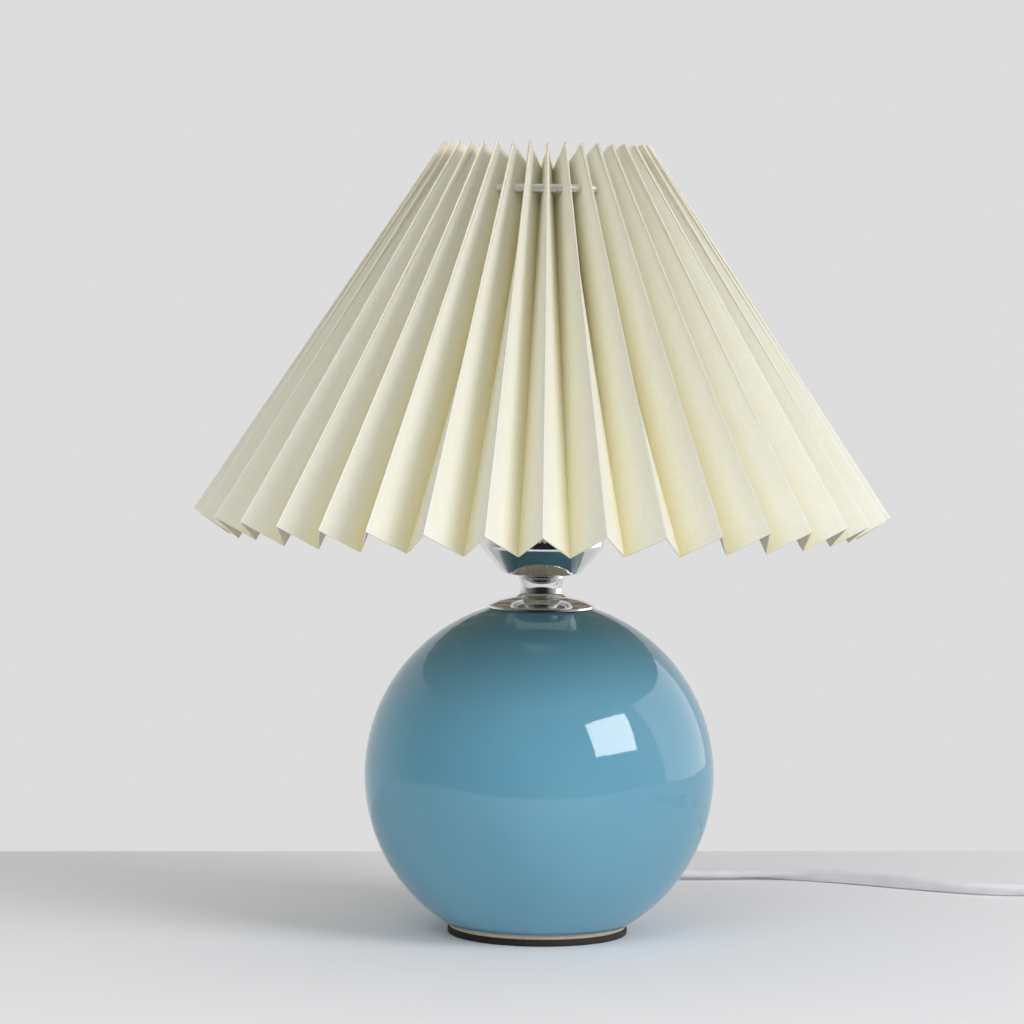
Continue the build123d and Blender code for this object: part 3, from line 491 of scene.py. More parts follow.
def top_edge(radius: float, height: float, cut: float) -> list[Point2]:
    """A bevel from an outer wall to the top."""
    return [(radius, height - cut), (radius - cut, height)]


def mouth_edge(radius: float, height: float, cut: float) -> list[Point2]:
    """A bevel from the top into a bore."""
    return [(radius + cut, height), (radius, height - cut)]


def deselect() -> None:
    """Leaves nothing selected, so that operators act on the new piece alone."""
    bpy.ops.object.select_all(action="DESELECT")


def draw_line(name: str, points: Sequence[Vector]) -> Piece:
    """Draws a line of edges and stays in edit mode with all of it selected.

    Args:
        name: The new piece's name.
        points: The line's points, in metres.

    Returns:
        The new piece.
    """
    deselect()
    bpy.ops.mesh.primitive_plane_add(size=MM, location=points[0])
    piece = bpy.context.object
    piece.name = piece.data.name = name
    bpy.ops.object.transform_apply(location=True, rotation=True, scale=True)
    bpy.ops.object.mode_set(mode="EDIT")
    bpy.ops.mesh.select_all(action="SELECT")
    bpy.ops.mesh.merge(type="CENTER")
    for here, there in zip(points, points[1:]):
        bpy.ops.mesh.extrude_vertices_move(TRANSFORM_OT_translate={"value": there - here})
    bpy.ops.mesh.select_all(action="SELECT")
    return piece


def face_outwards(weld: bool = False) -> None:
    """Turns the faces of the piece in edit mode outwards and leaves edit mode.

    Args:
        weld: Whether points that meet are joined first.
    """
    bpy.ops.mesh.select_all(action="SELECT")
    if weld:
        bpy.ops.mesh.remove_doubles(threshold=WELD)
    bpy.ops.mesh.normals_make_consistent(inside=False)
    bpy.ops.object.mode_set(mode="OBJECT")


def modify(piece: Piece, kind: str, **settings: float) -> None:
    """Adds a modifier to the active piece and applies it.

    Args:
        piece: The active piece.
        kind: The modifier's type.
        settings: Properties of the modifier.
    """
    bpy.ops.object.modifier_add(type=kind)
    modifier = piece.modifiers[-1]
    for name, value in settings.items():
        setattr(modifier, name, value)
    bpy.ops.object.modifier_apply(modifier=modifier.name)


def shade_smooth(kind: Smooth) -> None:
    """Shades the active piece smooth, with its sharper edges left crisp."""
    bpy.ops.object.shade_smooth_by_angle(angle=math.radians(kind.value))


def press_in(vertex: bpy.types.MeshVertex, depth: float, radius: float) -> None:
    """Moves a point of an upright round wall towards the axis.

    Args:
        vertex: The point.
        depth: How far a point at the wall's radius moves.
        radius: The wall's radius.
    """
    share = 1 - depth / radius
    vertex.co.x *= share
    vertex.co.y *= share


@dataclass(frozen=True)
class Lathe:
    """An axis to turn profiles about."""

    steps: int
    origin: Point3 = (0.0, 0.0, 0.0)
    axis: Point3 = (0.0, 0.0, 1.0)

    def turn(self, name: str, profile: Sequence[Point2]) -> Piece:
        """Turns a profile into a piece.

        Args:
            name: The piece's name.
            profile: Points as radius and height along the axis, in millimetres.

        Returns:
            The piece, at the origin, with its normals outwards.
        """
        origin, axis, out = Vector(self.origin) * MM, Vector(self.axis), Vector((1.0, 0.0, 0.0))
        points = [origin + (out * radius + axis * height) * MM for radius, height in profile]
        piece = draw_line(name, points)
        bpy.ops.mesh.spin(steps=self.steps, angle=math.tau, center=origin, axis=axis)
        face_outwards(weld=True)
        shade_smooth(Smooth.TURNED)
        return piece


def cut_thread(piece: Piece, radius: float, zone: Point2, pitch: float, depth: float) -> None:
    """Sinks a round helical thread into an upright cylinder.

    Args:
        piece: The turned piece, with close rows of points in the threaded zone.
        radius: The cylinder's radius, in millimetres.
        zone: Heights where the thread starts and ends.
        pitch: Height of one turn.
        depth: Depth of the groove.
    """
    low, high = zone
    for vertex in piece.data.vertices:
        reach, height = math.hypot(vertex.co.x, vertex.co.y) / MM, vertex.co.z / MM
        if abs(reach - radius) > ON_WALL or not low < height < high:
            continue
        angle = math.atan2(vertex.co.y, vertex.co.x)
        fade = min(1.0, (height - low) / pitch, (high - height) / pitch)
        groove = depth * fade * (0.5 - 0.5 * math.cos(math.tau * height / pitch - angle))
        press_in(vertex, groove, radius)


def settle(piece: Piece, finish: Finish, body: Body, slot: Slot, *nodes: str) -> Piece:
    """Dresses a finished piece and hands it to its CAD body.

    Args:
        piece: The piece, in place.
        finish: What it is covered with.
        body: The CAD body it moves with.
        slot: The record's material slot for it; not used.
        nodes: CAD nodes that it stands for.

    Returns:
        The same piece.
    """
    piece.data.materials.clear()
    piece.data.materials.append(finish.material())
    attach(piece, body.value)
    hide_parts(*nodes)
    log.info("%s: %d faces", piece.name, len(piece.data.polygons))
    return piece


@dataclass
class CeramicBase:
    """The glazed ball with its bare foot, and the pad under it."""

    ball_radius: float = 63.0
    ball_height: float = 57.48
    ball_steps: int = 120
    foot_radius: float = 32.0
    foot_low: float = 2.3
    foot_edge: float = 0.4
    glaze_radius: float = 33.5
    glaze_roll: Profile = ((0.0, -0.5), (0.5, -0.25))
    land_radius: float = 12.0
    pad_radius: float = 32.4
    pad_edge: Profile = ((-0.5, 0.0), (-0.15, 0.15), (0.0, 0.5))
    lathe: Lathe = Lathe(steps=192)

    def sphere_height(self, radius: float, side: int) -> float:
        """Height of the ball's surface at a radius, above (1) or below (-1) its middle."""
        return self.ball_height + side * math.sqrt(self.ball_radius**2 - radius**2)

    def ball(self) -> Piece:
        """Turns the ball with its rolled glaze edge and foot ring.

        Returns:
            The ball.
        """
        low = self.sphere_height(self.glaze_radius, -1)
        top = self.sphere_height(self.land_radius, 1)
        middle = (self.ball_radius, self.ball_height)
        profile = [(0.0, self.foot_low)] + low_edge(self.foot_radius, self.foot_low, self.foot_edge)
        profile += shifted(self.glaze_roll, self.foot_radius, low)
        profile += arc_through((self.glaze_radius, low), middle, (self.land_radius, top), self.ball_steps)
        return self.lathe.turn("ball", profile + [(0.0, top)])

    def pad(self) -> Piece:
        """Turns the pad with softened edges.

        Returns:
            The pad.
        """
        top = self.foot_low
        lower = shifted(self.pad_edge, self.pad_radius, 0.0)
        upper = [(radius, top - height) for radius, height in reversed(lower)]
        return self.lathe.turn("pad", [(0.0, 0.0)] + lower + upper + [(0.0, top)])

    def build(self) -> None:
        """Makes and dresses both pieces."""
        settle(self.ball(), GLAZE, Body.BASE, Slot.GLAZE, "ceramic_body")
        settle(self.pad(), PAD, Body.BASE, Slot.PAD, "foot_pad")


@dataclass
class ChromeNeck:
    """Cap, waisted neck and holder cup, turned from chromed metal.

    The neck's stretches are given from its foot, waist or band and from the cap's top, the
    cap's edge and the cup's lip from their own rims.
    """

    hole: float = 5.1
    sheet: float = 0.9
    cap_low: float = 117.79
    cap_top: float = 121.89
    cap_radius: float = 19.1
    cap_edge: Profile = ((-0.15, 1.1), (-0.04, 1.0), (0.0, 0.88), (0.0, 0.15), (-0.15, 0.0))
    dome_middle: float = 14.05
    dome_drop: float = 1.1
    neck_top: float = 129.99
    neck_foot: float = 9.0
    waist: float = 7.55
    band: float = 8.3
    foot_step: Profile = ((0.1, 0.0), (0.1, 0.15))
    foot_flare: Profile = ((1.45, 0.25), (0.55, 0.8), (0.2, 1.55))
    bead: Profile = ((0.2, 1.7), (0.0, 1.85))
    wall: Profile = ((-0.05, 2.4), (-0.08, 3.2), (-0.05, 4.0))
    swell: Profile = ((0.0, 4.3), (0.25, 5.4), (0.65, 6.6))
    band_groove: Profile = ((-0.05, 6.7), (-0.3, 6.8), (-0.3, 6.95), (0.0, 7.05))
    cup_floor: float = 13.9
    cup_rim: float = 22.4
    cup_bowl: float = 10.0
    cup_top: float = 146.99
    cup_bends: Point2 = (4.0, 2.0)
    cup_lip: Profile = ((-0.12, -0.1), (-0.45, 0.0), (-0.78, -0.1))
    lip_height: float = 0.4
    lathe: Lathe = Lathe(steps=160)

    def cap(self) -> Piece:
        """Turns the domed cap with its rolled rim.

        Returns:
            The cap.
        """
        low, top, sheet, foot = self.cap_low, self.cap_top, self.sheet, self.neck_foot
        middle, dome = self.dome_middle, top - self.dome_drop
        edge = shifted(self.cap_edge, self.cap_radius, low)
        outside = arc_through((foot, top), (middle, dome), edge[0], count=24) + edge[1:]
        start, end = (self.cap_radius - sheet, low), (foot - sheet, top - sheet)
        inside = arc_through(start, (middle - sheet, dome - sheet), end, count=16)
        profile = [(self.hole, top)] + outside + inside + [(self.hole, top - sheet), (self.hole, top)]
        return self.lathe.turn("cap", profile)

    def neck(self) -> Piece:
        """Turns the neck with its flare, waist and grooved band.

        Returns:
            The neck.
        """
        low, top, waist = self.cap_top, self.neck_top, self.waist
        profile = [(self.hole, low)] + shifted(self.foot_step, self.neck_foot, low)
        profile += arc_through(*shifted(self.foot_flare, waist, low), count=10)
        profile += shifted(self.bead + self.wall, waist, low)
        profile += arc_through(*shifted(self.swell, waist, low), count=14)
        profile += shifted(self.band_groove, self.band, low)
        return self.lathe.turn("neck", profile + [(self.band, top), (self.hole, top), (self.hole, low)])

    def cup(self) -> Piece:
        """Turns the thin cup: a flared bowl, an upright wall and a rolled rim.

        Returns:
            The cup.
        """
        low, rim, sheet, hole = self.neck_top, self.cup_rim, self.sheet, self.hole
        bowl_top, wall_top = low + self.cup_bowl, self.cup_top - self.lip_height
        flare = math.atan2(rim - self.cup_floor, self.cup_bowl)
        floor_shift, wall_shift = sheet * math.tan(math.pi / 4 - flare / 2), sheet * math.tan(flare / 2)
        floor_bend, wall_bend = self.cup_bends
        outside = [(hole, low), (self.cup_floor, low), (rim, bowl_top), (rim, wall_top)]
        inside = [(rim - sheet, wall_top), (rim - sheet, bowl_top + wall_shift)]
        inside += [(self.cup_floor - floor_shift, low + sheet), (hole, low + sheet)]
        profile = bent_sheet(outside, (floor_bend, wall_bend), steps=12)
        profile += shifted(self.cup_lip, rim, self.cup_top)
        profile += bent_sheet(inside, (wall_bend - sheet, floor_bend - sheet), steps=12)
        return self.lathe.turn("cup", profile + [(hole, low)])

    def build(self) -> None:
        """Makes and dresses the three pieces."""
        settle(self.cap(), CHROME, Body.BASE, Slot.CHROME, "ball_cap")
        settle(self.neck(), CHROME, Body.BASE, Slot.CHROME, "neck_spool")
        settle(self.cup(), CHROME, Body.BASE, Slot.CHROME, "holder_cup")


@dataclass
class BulbHolder:
    """Moulded holder: base shell, threaded skirt and the ring nut that clamps the shade."""

    hole: float = 5.1
    base_low: float = 130.89
    base_top: float = 151.89
    base_foot: float = 10.5
    base_radius: float = 19.8
    base_wall: float = 1.6
    shoulder: Profile = ((-0.3, 12.1), (0.0, 12.9))
    hollow_low: float = 12.0
    floor: Point2 = (8.0, 6.0)
    collar: float = 20.6
    collar_gap: float = 0.2
    flange: float = 24.0
    flange_low: float = 157.29
    flange_top: float = 159.89
    thread: float = 20.0
    thread_top: float = 187.39
    thread_end: float = 0.6
    thread_rows: int = 84
    thread_pitch: float = 3.0
    thread_depth: float = 0.55
    bore: float = 16.2
    nut_low: float = 161.59
    nut_height: float = 8.0
    nut_radius: float = 23.6
    nut_hole: float = 20.3
    nut_edge: float = 0.6
    grips: int = 16
    grip_depth: float = 0.6
    grip_reach: float = 0.55
    grip_end: float = 1.4
    fine_edge: float = 0.3
    edge: float = 0.4
    wide_edge: float = 0.5
    lathe: Lathe = Lathe(steps=128)

    def base(self) -> Piece:
        """Turns the base shell.

        Returns:
            The base shell.
        """
        low, top, radius, hole = self.base_low, self.base_top, self.base_radius, self.hole
        inner = radius - self.base_wall
        floor, rise = self.floor
        profile = [(hole, low)] + low_edge(self.base_foot, low, self.edge)
        profile += shifted(self.shoulder, radius, low) + top_edge(radius, top, self.fine_edge)
        profile += [(inner, top), (inner, low + self.hollow_low), (floor, low + rise)]
        return self.lathe.turn("holder_shell", profile + [(hole, low + rise), (hole, low)])

    def skirt(self) -> Piece:
        """Turns the skirt with its flange and cuts the thread for the ring nut.

        Returns:
            The skirt.
        """
        inner, low, top = self.base_radius - self.base_wall, self.base_top, self.thread_top
        flange_low, flange_top = self.flange_low, self.flange_top
        profile = [(inner, low)] + low_edge(self.collar, low, self.fine_edge)
        profile += [(self.collar, flange_low - self.collar_gap)]
        profile += low_edge(self.flange, flange_low, self.wide_edge)
        profile += top_edge(self.flange, flange_top, self.edge)
        profile += rows(self.thread, flange_top, top - self.thread_end, self.thread_rows)
        profile += [(self.thread - self.wide_edge, top)] + mouth_edge(self.bore, top, self.edge)
        profile += [(self.bore, flange_low), (inner, flange_low), (inner, low)]
        piece = self.lathe.turn("holder_thread", profile)
        zone = (flange_top + self.wide_edge, top - self.wide_edge)
        cut_thread(piece, self.thread, zone, self.thread_pitch, self.thread_depth)
        return piece

    def nut(self) -> Piece:
        """Turns the ring nut and presses the finger grips into its rim.

        Returns:
            The ring nut.
        """
        low, rim, hole = self.nut_low, self.nut_radius, self.nut_hole
        top = low + self.nut_height
        profile = [(hole, low)] + low_edge(rim, low, self.wide_edge) + [(rim, low + self.grip_end)]
        profile += [(rim, top - self.grip_end)] + top_edge(rim, top, self.nut_edge)
        profile += mouth_edge(hole, top, self.wide_edge) + [(hole, low)]
        piece = self.lathe.turn("clamp_ring", profile)
        for vertex in piece.data.vertices:
            if math.hypot(vertex.co.x, vertex.co.y) > (rim - self.grip_reach) * MM:
                wave = math.cos(self.grips * math.atan2(vertex.co.y, vertex.co.x))
                press_in(vertex, self.grip_depth * max(0.0, wave), rim)
        return piece

    def build(self) -> None:
        """Makes and dresses the three pieces."""
        settle(self.base(), HOLDER, Body.BASE, Slot.HOLDER, "holder_base")
        settle(self.skirt(), HOLDER, Body.BASE, Slot.HOLDER, "holder_skirt")
        settle(self.nut(), HOLDER, Body.NUT, Slot.HOLDER, "ring_nut")


@dataclass
class Bulb:
    """Opal bulb with a threaded cap and a moulded collar."""

    cap_low: float = 165.39
    cap_top: float = 187.39
    cap_radius: float = 13.1
    cap_foot: float = 9.3
    cap_taper: Profile = ((-0.6, 2.4),)
    cap_neck: Profile = ((-0.3, -2.0), (-0.3, 0.0))
    thread_low: float = 2.9
    thread_end: float = 2.4
    thread_margin: float = 0.1
    thread_rows: int = 72
    thread_pitch: float = 3.6
    thread_depth: float = 0.75
    spigot: Point2 = (12.4, 2.0)
    body_foot: float = 14.2
    body_edge: Profile = ((-0.5, 0.0), (0.0, 0.6))
    body_middle: Point2 = (15.4, 8.0)
    body_radius: float = 17.6
    body_top: float = 203.79
    body_rim: Profile = ((-0.4, -1.6), (0.0, -1.2), (0.0, -0.4), (-0.4, -0.2), (-0.5, 0.0))
    globe_radius: float = 22.5
    globe_middle: float = 217.81
    lathe: Lathe = Lathe(steps=128)

    def cap(self) -> Piece:
        """Turns the cap and cuts its thread.

        Returns:
            The cap.
        """
        low, top, radius = self.cap_low, self.cap_top, self.cap_radius
        start, end = low + self.thread_low, top - self.thread_end
        profile = [(0.0, low), (self.cap_foot, low)] + shifted(self.cap_taper, radius, low)
        profile += rows(radius, start, end, self.thread_rows) + shifted(self.cap_neck, radius, top)
        piece = self.lathe.turn("bulb_thread", profile + [(0.0, top)])
        zone = (start - self.thread_margin, end + self.thread_margin)
        cut_thread(piece, radius, zone, self.thread_pitch, self.thread_depth)
        return piece

    def body(self) -> Piece:
        """Turns the collar between cap and globe.

        Returns:
            The collar.
        """
        low, top = self.cap_top, self.body_top
        spigot, sunk = self.spigot
        middle, rise = self.body_middle
        foot = shifted(self.body_edge, self.body_foot, low)
        rim = shifted(self.body_rim, self.body_radius, top)
        profile = [(0.0, low - sunk), (spigot, low - sunk), (spigot, low), foot[0]]
        profile += arc_through(foot[1], (middle, low + rise), rim[0], count=20) + rim[1:]
        return self.lathe.turn("bulb_collar", profile + [(0.0, top)])

    def globe(self) -> Piece:
        """Turns the globe, which starts where the collar's rim ends.

        Returns:
            The globe.
        """
        radius, middle = self.globe_radius, self.globe_middle
        start = self.body_radius + self.body_rim[-1][0]
        foot = middle - math.sqrt(radius**2 - start**2)
        dome = arc_through((start, foot), (radius, middle), (0.0, middle + radius), count=72)
        return self.lathe.turn("bulb_dome", [(0.0, foot)] + dome)

    def build(self) -> None:
        """Makes and dresses the three pieces."""
        settle(self.cap(), STEEL, Body.BULB, Slot.STEEL, "bulb_screw_cap")
        settle(self.body(), FITTING, Body.BULB, Slot.FITTING, "bulb_body")
        settle(self.globe(), OPAL, Body.BULB, Slot.OPAL, "bulb_globe")


@dataclass
class PleatedShade:
    """One straight strip of shade cloth, folded to and fro and closed at the back.

    The sway is how far each fold strays: a turn in radians, a lift and a push in millimetres.
    The steady values are the shares of the turn and the push that the top edge is free of.
    """

    pleats: int = 38
    panel: float = 17.2
    bottom_radius: float = 125.0
    bottom_height: float = 152.8
    top_radius: float = 37.5
    top_height: float = 284.5
    outer_inset: float = 0.18
    inner_inset: float = -0.1
    arm_pleats: tuple[int, ...] = (6, 19, 32)
    arm_spread: float = math.radians(2.8)
    lap: float = 0.9
    rows: int = 20
    cloth: float = 0.5
    seed: int = 11
    sway_turn: float = 0.008
    sway_shift: float = 0.5
    steady_turn: float = 0.75
    steady_push: float = 0.6
    edge_lift: float = 0.6
    fractions: tuple[float, ...] = (0.0, 0.02, 0.06, 0.28, 0.5, 0.72, 0.94, 0.98)
    panels: int = field(init=False)
    slant: float = field(init=False)
    slope: float = field(init=False)
    sway: list[Point3] = field(init=False)

    def __post_init__(self) -> None:
        """Works out the folds' length and slope and the small differences between pleats."""
        run, rise = self.bottom_radius - self.top_radius, self.top_height - self.bottom_height
        self.panels = 2 * self.pleats + 1
        self.slant, self.slope = math.hypot(run, rise), math.atan2(run, rise)
        draw = random.Random(self.seed).uniform
        turn, shift = self.sway_turn, self.sway_shift
        self.sway = [
            (draw(-turn, turn), draw(-shift, shift), draw(-shift, shift)) for _ in range(2 * self.pleats)
        ]

    def depth(self, radius: float) -> float:
        """Depth of a pleat, square to its folds.

        Args:
            radius: Radius of the outer fold.

        Returns:
            The depth, in millimetres.
        """
        bow = 1 - math.cos(math.pi / self.pleats)
        lean = radius * math.cos(self.slope) * bow
        return lean + math.sqrt(lean**2 + self.panel**2 - 2 * radius**2 * bow)

    def ends(self, outer: bool) -> list[Point2]:
        """Ends of the outer folds, or of the inner ones square below them.

        Args:
            outer: Whether the folds are outer ones.

        Returns:
            Radius and height of the lower and of the upper end.
        """
        inward, down = math.cos(self.slope), math.sin(self.slope)
        ends: list[Point2] = []
        for radius, height in ((self.bottom_radius, self.bottom_height), (self.top_radius, self.top_height)):
            depth = 0.0 if outer else self.depth(radius)
            ends.append((radius - depth * inward, height - depth * down))
        return ends

    def fold(self, index: int, share: float) -> Vector:
        """A point on a fold.

        Args:
            index: Fold number from the back; even folds are inner ones.
            share: 0 at the bottom edge, 1 at the top.

        Returns:
            The point, in millimetres.
        """
        place = index % (2 * self.pleats)
        outer = place % 2 == 1
        turn, lift, push = self.sway[place]
        low, high = self.ends(outer)
        radius, height = (start + (end - start) * share for start, end in zip(low, high))
        angle = math.pi / 2 + (place + 1) * math.pi / self.pleats + turn * (1 - self.steady_turn * share)
        if not outer:
            angle += self.beside_arm(place) * share
        inset = (self.outer_inset if outer else self.inner_inset) + push * (1 - self.steady_push * share)
        radius -= inset * math.cos(self.slope) + lift * share * (1 - share) * math.sin(self.slope)
        height += -inset * math.sin(self.slope) + self.edge_lift * lift * (1 - 2 * share)
        return Vector((radius * math.cos(angle), radius * math.sin(angle), height))

    def beside_arm(self, place: int) -> float:
        """How far an inner fold turns aside for a frame arm.

        Args:
            place: Fold number from the back.

        Returns:
            An angle at the top edge, in radians.
        """
        before = (place // 2 + self.pleats // 2) % self.pleats
        if before in self.arm_pleats:
            return self.arm_spread
        if (before + 1) % self.pleats in self.arm_pleats:
            return -self.arm_spread
        return 0.0

    def strip(self) -> Piece:
        """Lays out the flat strip as a grid, folds it and gives the cloth its thickness.

        Returns:
            The folded strip.
        """
        steps = len(self.fractions)
        columns = self.panels * steps
        deselect()
        bpy.ops.mesh.primitive_grid_add(x_subdivisions=columns, y_subdivisions=self.rows, size=2.0)
        piece = bpy.context.object
        mesh = piece.data
        piece.name = mesh.name = "shade_strip"
        places: list[tuple[int, float, float]] = []
        for vertex in mesh.vertices:
            column = round((vertex.co.x + 1) / 2 * columns)
            share = (vertex.co.y + 1) / 2
            panel = min(column // steps, self.panels - 1)
            part = 1.0 if column == columns else self.fractions[column % steps]
            places.append((panel, part, share))
        for vertex, (panel, part, share) in zip(mesh.vertices, places):
            point = self.fold(panel, share).lerp(self.fold(panel + 1, share), part)
            if panel == self.panels - 1:
                point -= Vector((point.x, point.y, 0)).normalized() * self.lap
            vertex.co = point * MM
        self.map_strip(mesh, places)
        bpy.ops.object.mode_set(mode="EDIT")
        face_outwards()
        modify(piece, "SOLIDIFY", thickness=self.cloth * MM, offset=-1.0)
        shade_smooth(Smooth.CLOTH)
        return piece

    def map_strip(self, mesh: bpy.types.Mesh, places: list[tuple[int, float, float]]) -> None:
        """Stores where each point lay on the flat strip, and where in its pleat.

        Args:
            mesh: The strip's mesh, before it has a thickness.
            places: Panel, share across it and share up it, for each vertex.
        """
        flat = mesh.uv_layers.new(name=STRIP_MAP)
        folded = mesh.uv_layers.new(name=PLEAT_MAP)
        for loop in mesh.loops:
            panel, part, share = places[loop.vertex_index]
            flat.data[loop.index].uv = ((panel + part) * self.panel * MM, share * self.slant * MM)
            folded.data[loop.index].uv = (part if panel % 2 else 1 - part, share)
        for spare in [layer for layer in mesh.uv_layers if layer.name not in (STRIP_MAP, PLEAT_MAP)]:
            mesh.uv_layers.remove(spare)

    def build(self) -> None:
        strip = settle(self.strip(), PLEATS, Body.SHADE, Slot.SHADE, "pleated_shade")
        strip.data.materials.append(LINING.material())
        faces = self.panels * len(self.fractions) * self.rows
        for face in strip.data.polygons[faces : 2 * faces]:
            face.material_index = 1


@dataclass
class FlatCord:
    """A flat twin cord that follows a route on one smooth spline.

    The rolls are how far the cord is turned on edge, in degrees, at shares of its length.
    """

    name: str
    route: Sequence[Point3]
    rolls: Profile
    width: float = 5.2
    thickness: float = 3.2
    groove: float = 0.28
    lobe: float = 80.0
    lobe_steps: int = 9
    spline_order: int = 3
    spline_steps: int = 8
    least_step: float = 1e-6

    def line(self) -> list[Vector]:
        """Draws the route's spline.

        Returns:
            Points along it, in metres.
        """
        curve = bpy.data.curves.new(self.name + "_route", "CURVE")
        curve.dimensions = "3D"
        spline = curve.splines.new("NURBS")
        spline.points.add(len(self.route) - 1)
        for knot, point in zip(spline.points, self.route):
            knot.co = (*(value * MM for value in point), 1.0)
        spline.order_u = self.spline_order
        spline.use_endpoint_u = True
        spline.resolution_u = self.spline_steps
        carrier = bpy.data.objects.new(self.name + "_route", curve)
        bpy.context.scene.collection.objects.link(carrier)
        drawn = bpy.data.meshes.new_from_object(carrier)
        points = [vertex.co.copy() for vertex in drawn.vertices]
        bpy.data.objects.remove(carrier)
        bpy.data.curves.remove(curve)
        bpy.data.meshes.remove(drawn)
        pairs = zip(points, points[1:])
        return points[:1] + [there for here, there in pairs if (there - here).length > self.least_step]

    def section(self) -> list[Point2]:
        """The cord's outline: two round cores side by side with a groove between.

        Returns:
            Its points across and up, in millimetres.
        """
        radius = self.thickness / 2
        side, waist = self.width / 2 - radius, radius - self.groove
        shares = [step / (self.lobe_steps - 1) for step in range(self.lobe_steps)]
        angles = [math.radians(self.lobe * (2 * share - 1)) for share in shares]
        right = [(side + radius * math.cos(angle), radius * math.sin(angle)) for angle in angles]
        return right + [(0.0, waist)] + [(-x, -y) for x, y in right] + [(0.0, -waist)]

    def roll_at(self, share: float) -> float:
        """How far the cord is turned on edge.

        Args:
            share: Place as a share of the cord's length.

        Returns:
            The roll, in degrees.
        """
        for (low, first), (high, second) in zip(self.rolls, self.rolls[1:]):
            if share <= high:
                part = (share - low) / (high - low)
                ease = part * part * (3 - 2 * part)
                return first + (second - first) * ease
        return self.rolls[-1][1]

    def tube(self, points: list[Vector]) -> Piece:
        """Carries the outline along the line.

        Args:
            points: The cord's centre line, in metres.

        Returns:
            The closed tube.
        """
        outline = self.section()
        count, end = len(outline), len(points) - 1
        reach = [0.0]
        for here, there in zip(points, points[1:]):
            reach.append(reach[-1] + (there - here).length)
        vertices: list[Vector] = []
        for index, point in enumerate(points):
            along = (points[min(index + 1, end)] - points[max(index - 1, 0)]).normalized()
            side = along.cross(Vector((0, 0, 1))).normalized()
            rise = side.cross(along)
            turn = math.radians(self.roll_at(reach[index] / reach[-1]))
            wide = side * math.cos(turn) + rise * math.sin(turn)
            thin = wide.cross(along)
            vertices += [point + (wide * x + thin * y) * MM for x, y in outline]
        faces: list[tuple[int, ...]] = []
        for first in range(0, end * count, count):
            for step in range(count):
                here, there = first + step, first + (step + 1) % count
                faces.append((here, there, there + count, here + count))
        faces.append(tuple(range(count)))
        faces.append(tuple(range(end * count, len(vertices))))
        mesh = bpy.data.meshes.new(self.name)
        mesh.from_pydata(vertices, [], faces)
        piece = bpy.data.objects.new(self.name, mesh)
        bpy.context.scene.collection.objects.link(piece)
        deselect()
        bpy.context.view_layer.objects.active = piece
        piece.select_set(True)
        bpy.ops.object.mode_set(mode="EDIT")
        face_outwards()
        shade_smooth(Smooth.SOFT)
        return piece


@dataclass
class CordOutlet:
    """Tapered sleeve with bending rings, which leads the cord out of the ball."""

    height: float = 18.0
    end: float = 66.0
    stem: Profile = ((2.4, 33.2), (6.0, 33.2), (6.0, 35.7), (4.3, 35.7), (4.3, 49.6))
    rings: int = 5
    ring: Profile = ((0.0, 0.0), (-0.1, 1.9), (-0.75, 2.1), (-0.8, 2.7))
    ring_radius: float = 4.25
    ring_taper: float = 0.2
    ring_start: float = 50.2
    ring_pitch: float = 2.9
    tip: Profile = ((3.25, -1.2), (3.15, -0.4), (2.9, 0.0), (2.4, 0.0))

    def sleeve(self) -> Piece:
        """Turns the sleeve about the cord's way out.

        Returns:
            The sleeve.
        """
        lathe = Lathe(steps=64, origin=(0.0, 0.0, self.height), axis=(0.0, 1.0, 0.0))
        profile = list(self.stem)
        for ring in range(self.rings):
            radius = self.ring_radius - self.ring_taper * ring
            profile += shifted(self.ring, radius, self.ring_start + self.ring_pitch * ring)
        profile += shifted(self.tip, 0.0, self.end)
        return lathe.turn("outlet_sleeve", profile + [self.stem[0]])

    def build(self) -> None:
        """Makes and dresses the sleeve."""
        settle(self.sleeve(), SHEATH, Body.BASE, Slot.CORD, "cord_outlet")


@dataclass
class CoilTie:
    """Woven strap round the coil, with its end lapped over on top."""

    place: float = 289.3
    width: float = 10.0
    inside: Point2 = (37.6, 60.9)
    low: float = 0.45
    high: float = 12.95
    tuck: float = 4.2
    lap: Profile = ((0.0, 0.4), (19.0, 1.05), (21.0, 1.8))
    bend: float = 3.4
    bend_steps: int = 6
    thickness: float = 0.9
    edge: float = 0.18

    def strap(self) -> Piece:
        """Leads the strap once round the coil, widens it and gives it its thickness.

        Returns:
            The strap.
        """
        near, far = self.inside
        loop = [(near + self.tuck, self.high), (far, self.high), (far, self.low), (near, self.low)]
        loop += shifted(self.lap, near, self.high)
        bends = [self.bend] * (len(loop) - 2)
        left = self.place - self.width / 2
        points = [Vector((left, y, z)) * MM for y, z in bent_sheet(loop, bends, self.bend_steps)]
        piece = draw_line("coil_strap", points)
        bpy.ops.mesh.extrude_edges_move(TRANSFORM_OT_translate={"value": (self.width * MM, 0, 0)})
        face_outwards()
        modify(piece, "SOLIDIFY", thickness=self.thickness * MM, offset=0.0)
        modify(piece, "BEVEL", width=self.edge * MM, segments=2)
        shade_smooth(Smooth.SOFT)
        return piece

    def build(self) -> Piece:
        """Makes and dresses the strap."""
        return settle(self.strap(), STRAP, Body.BASE, Slot.TIE, "coil_tie")


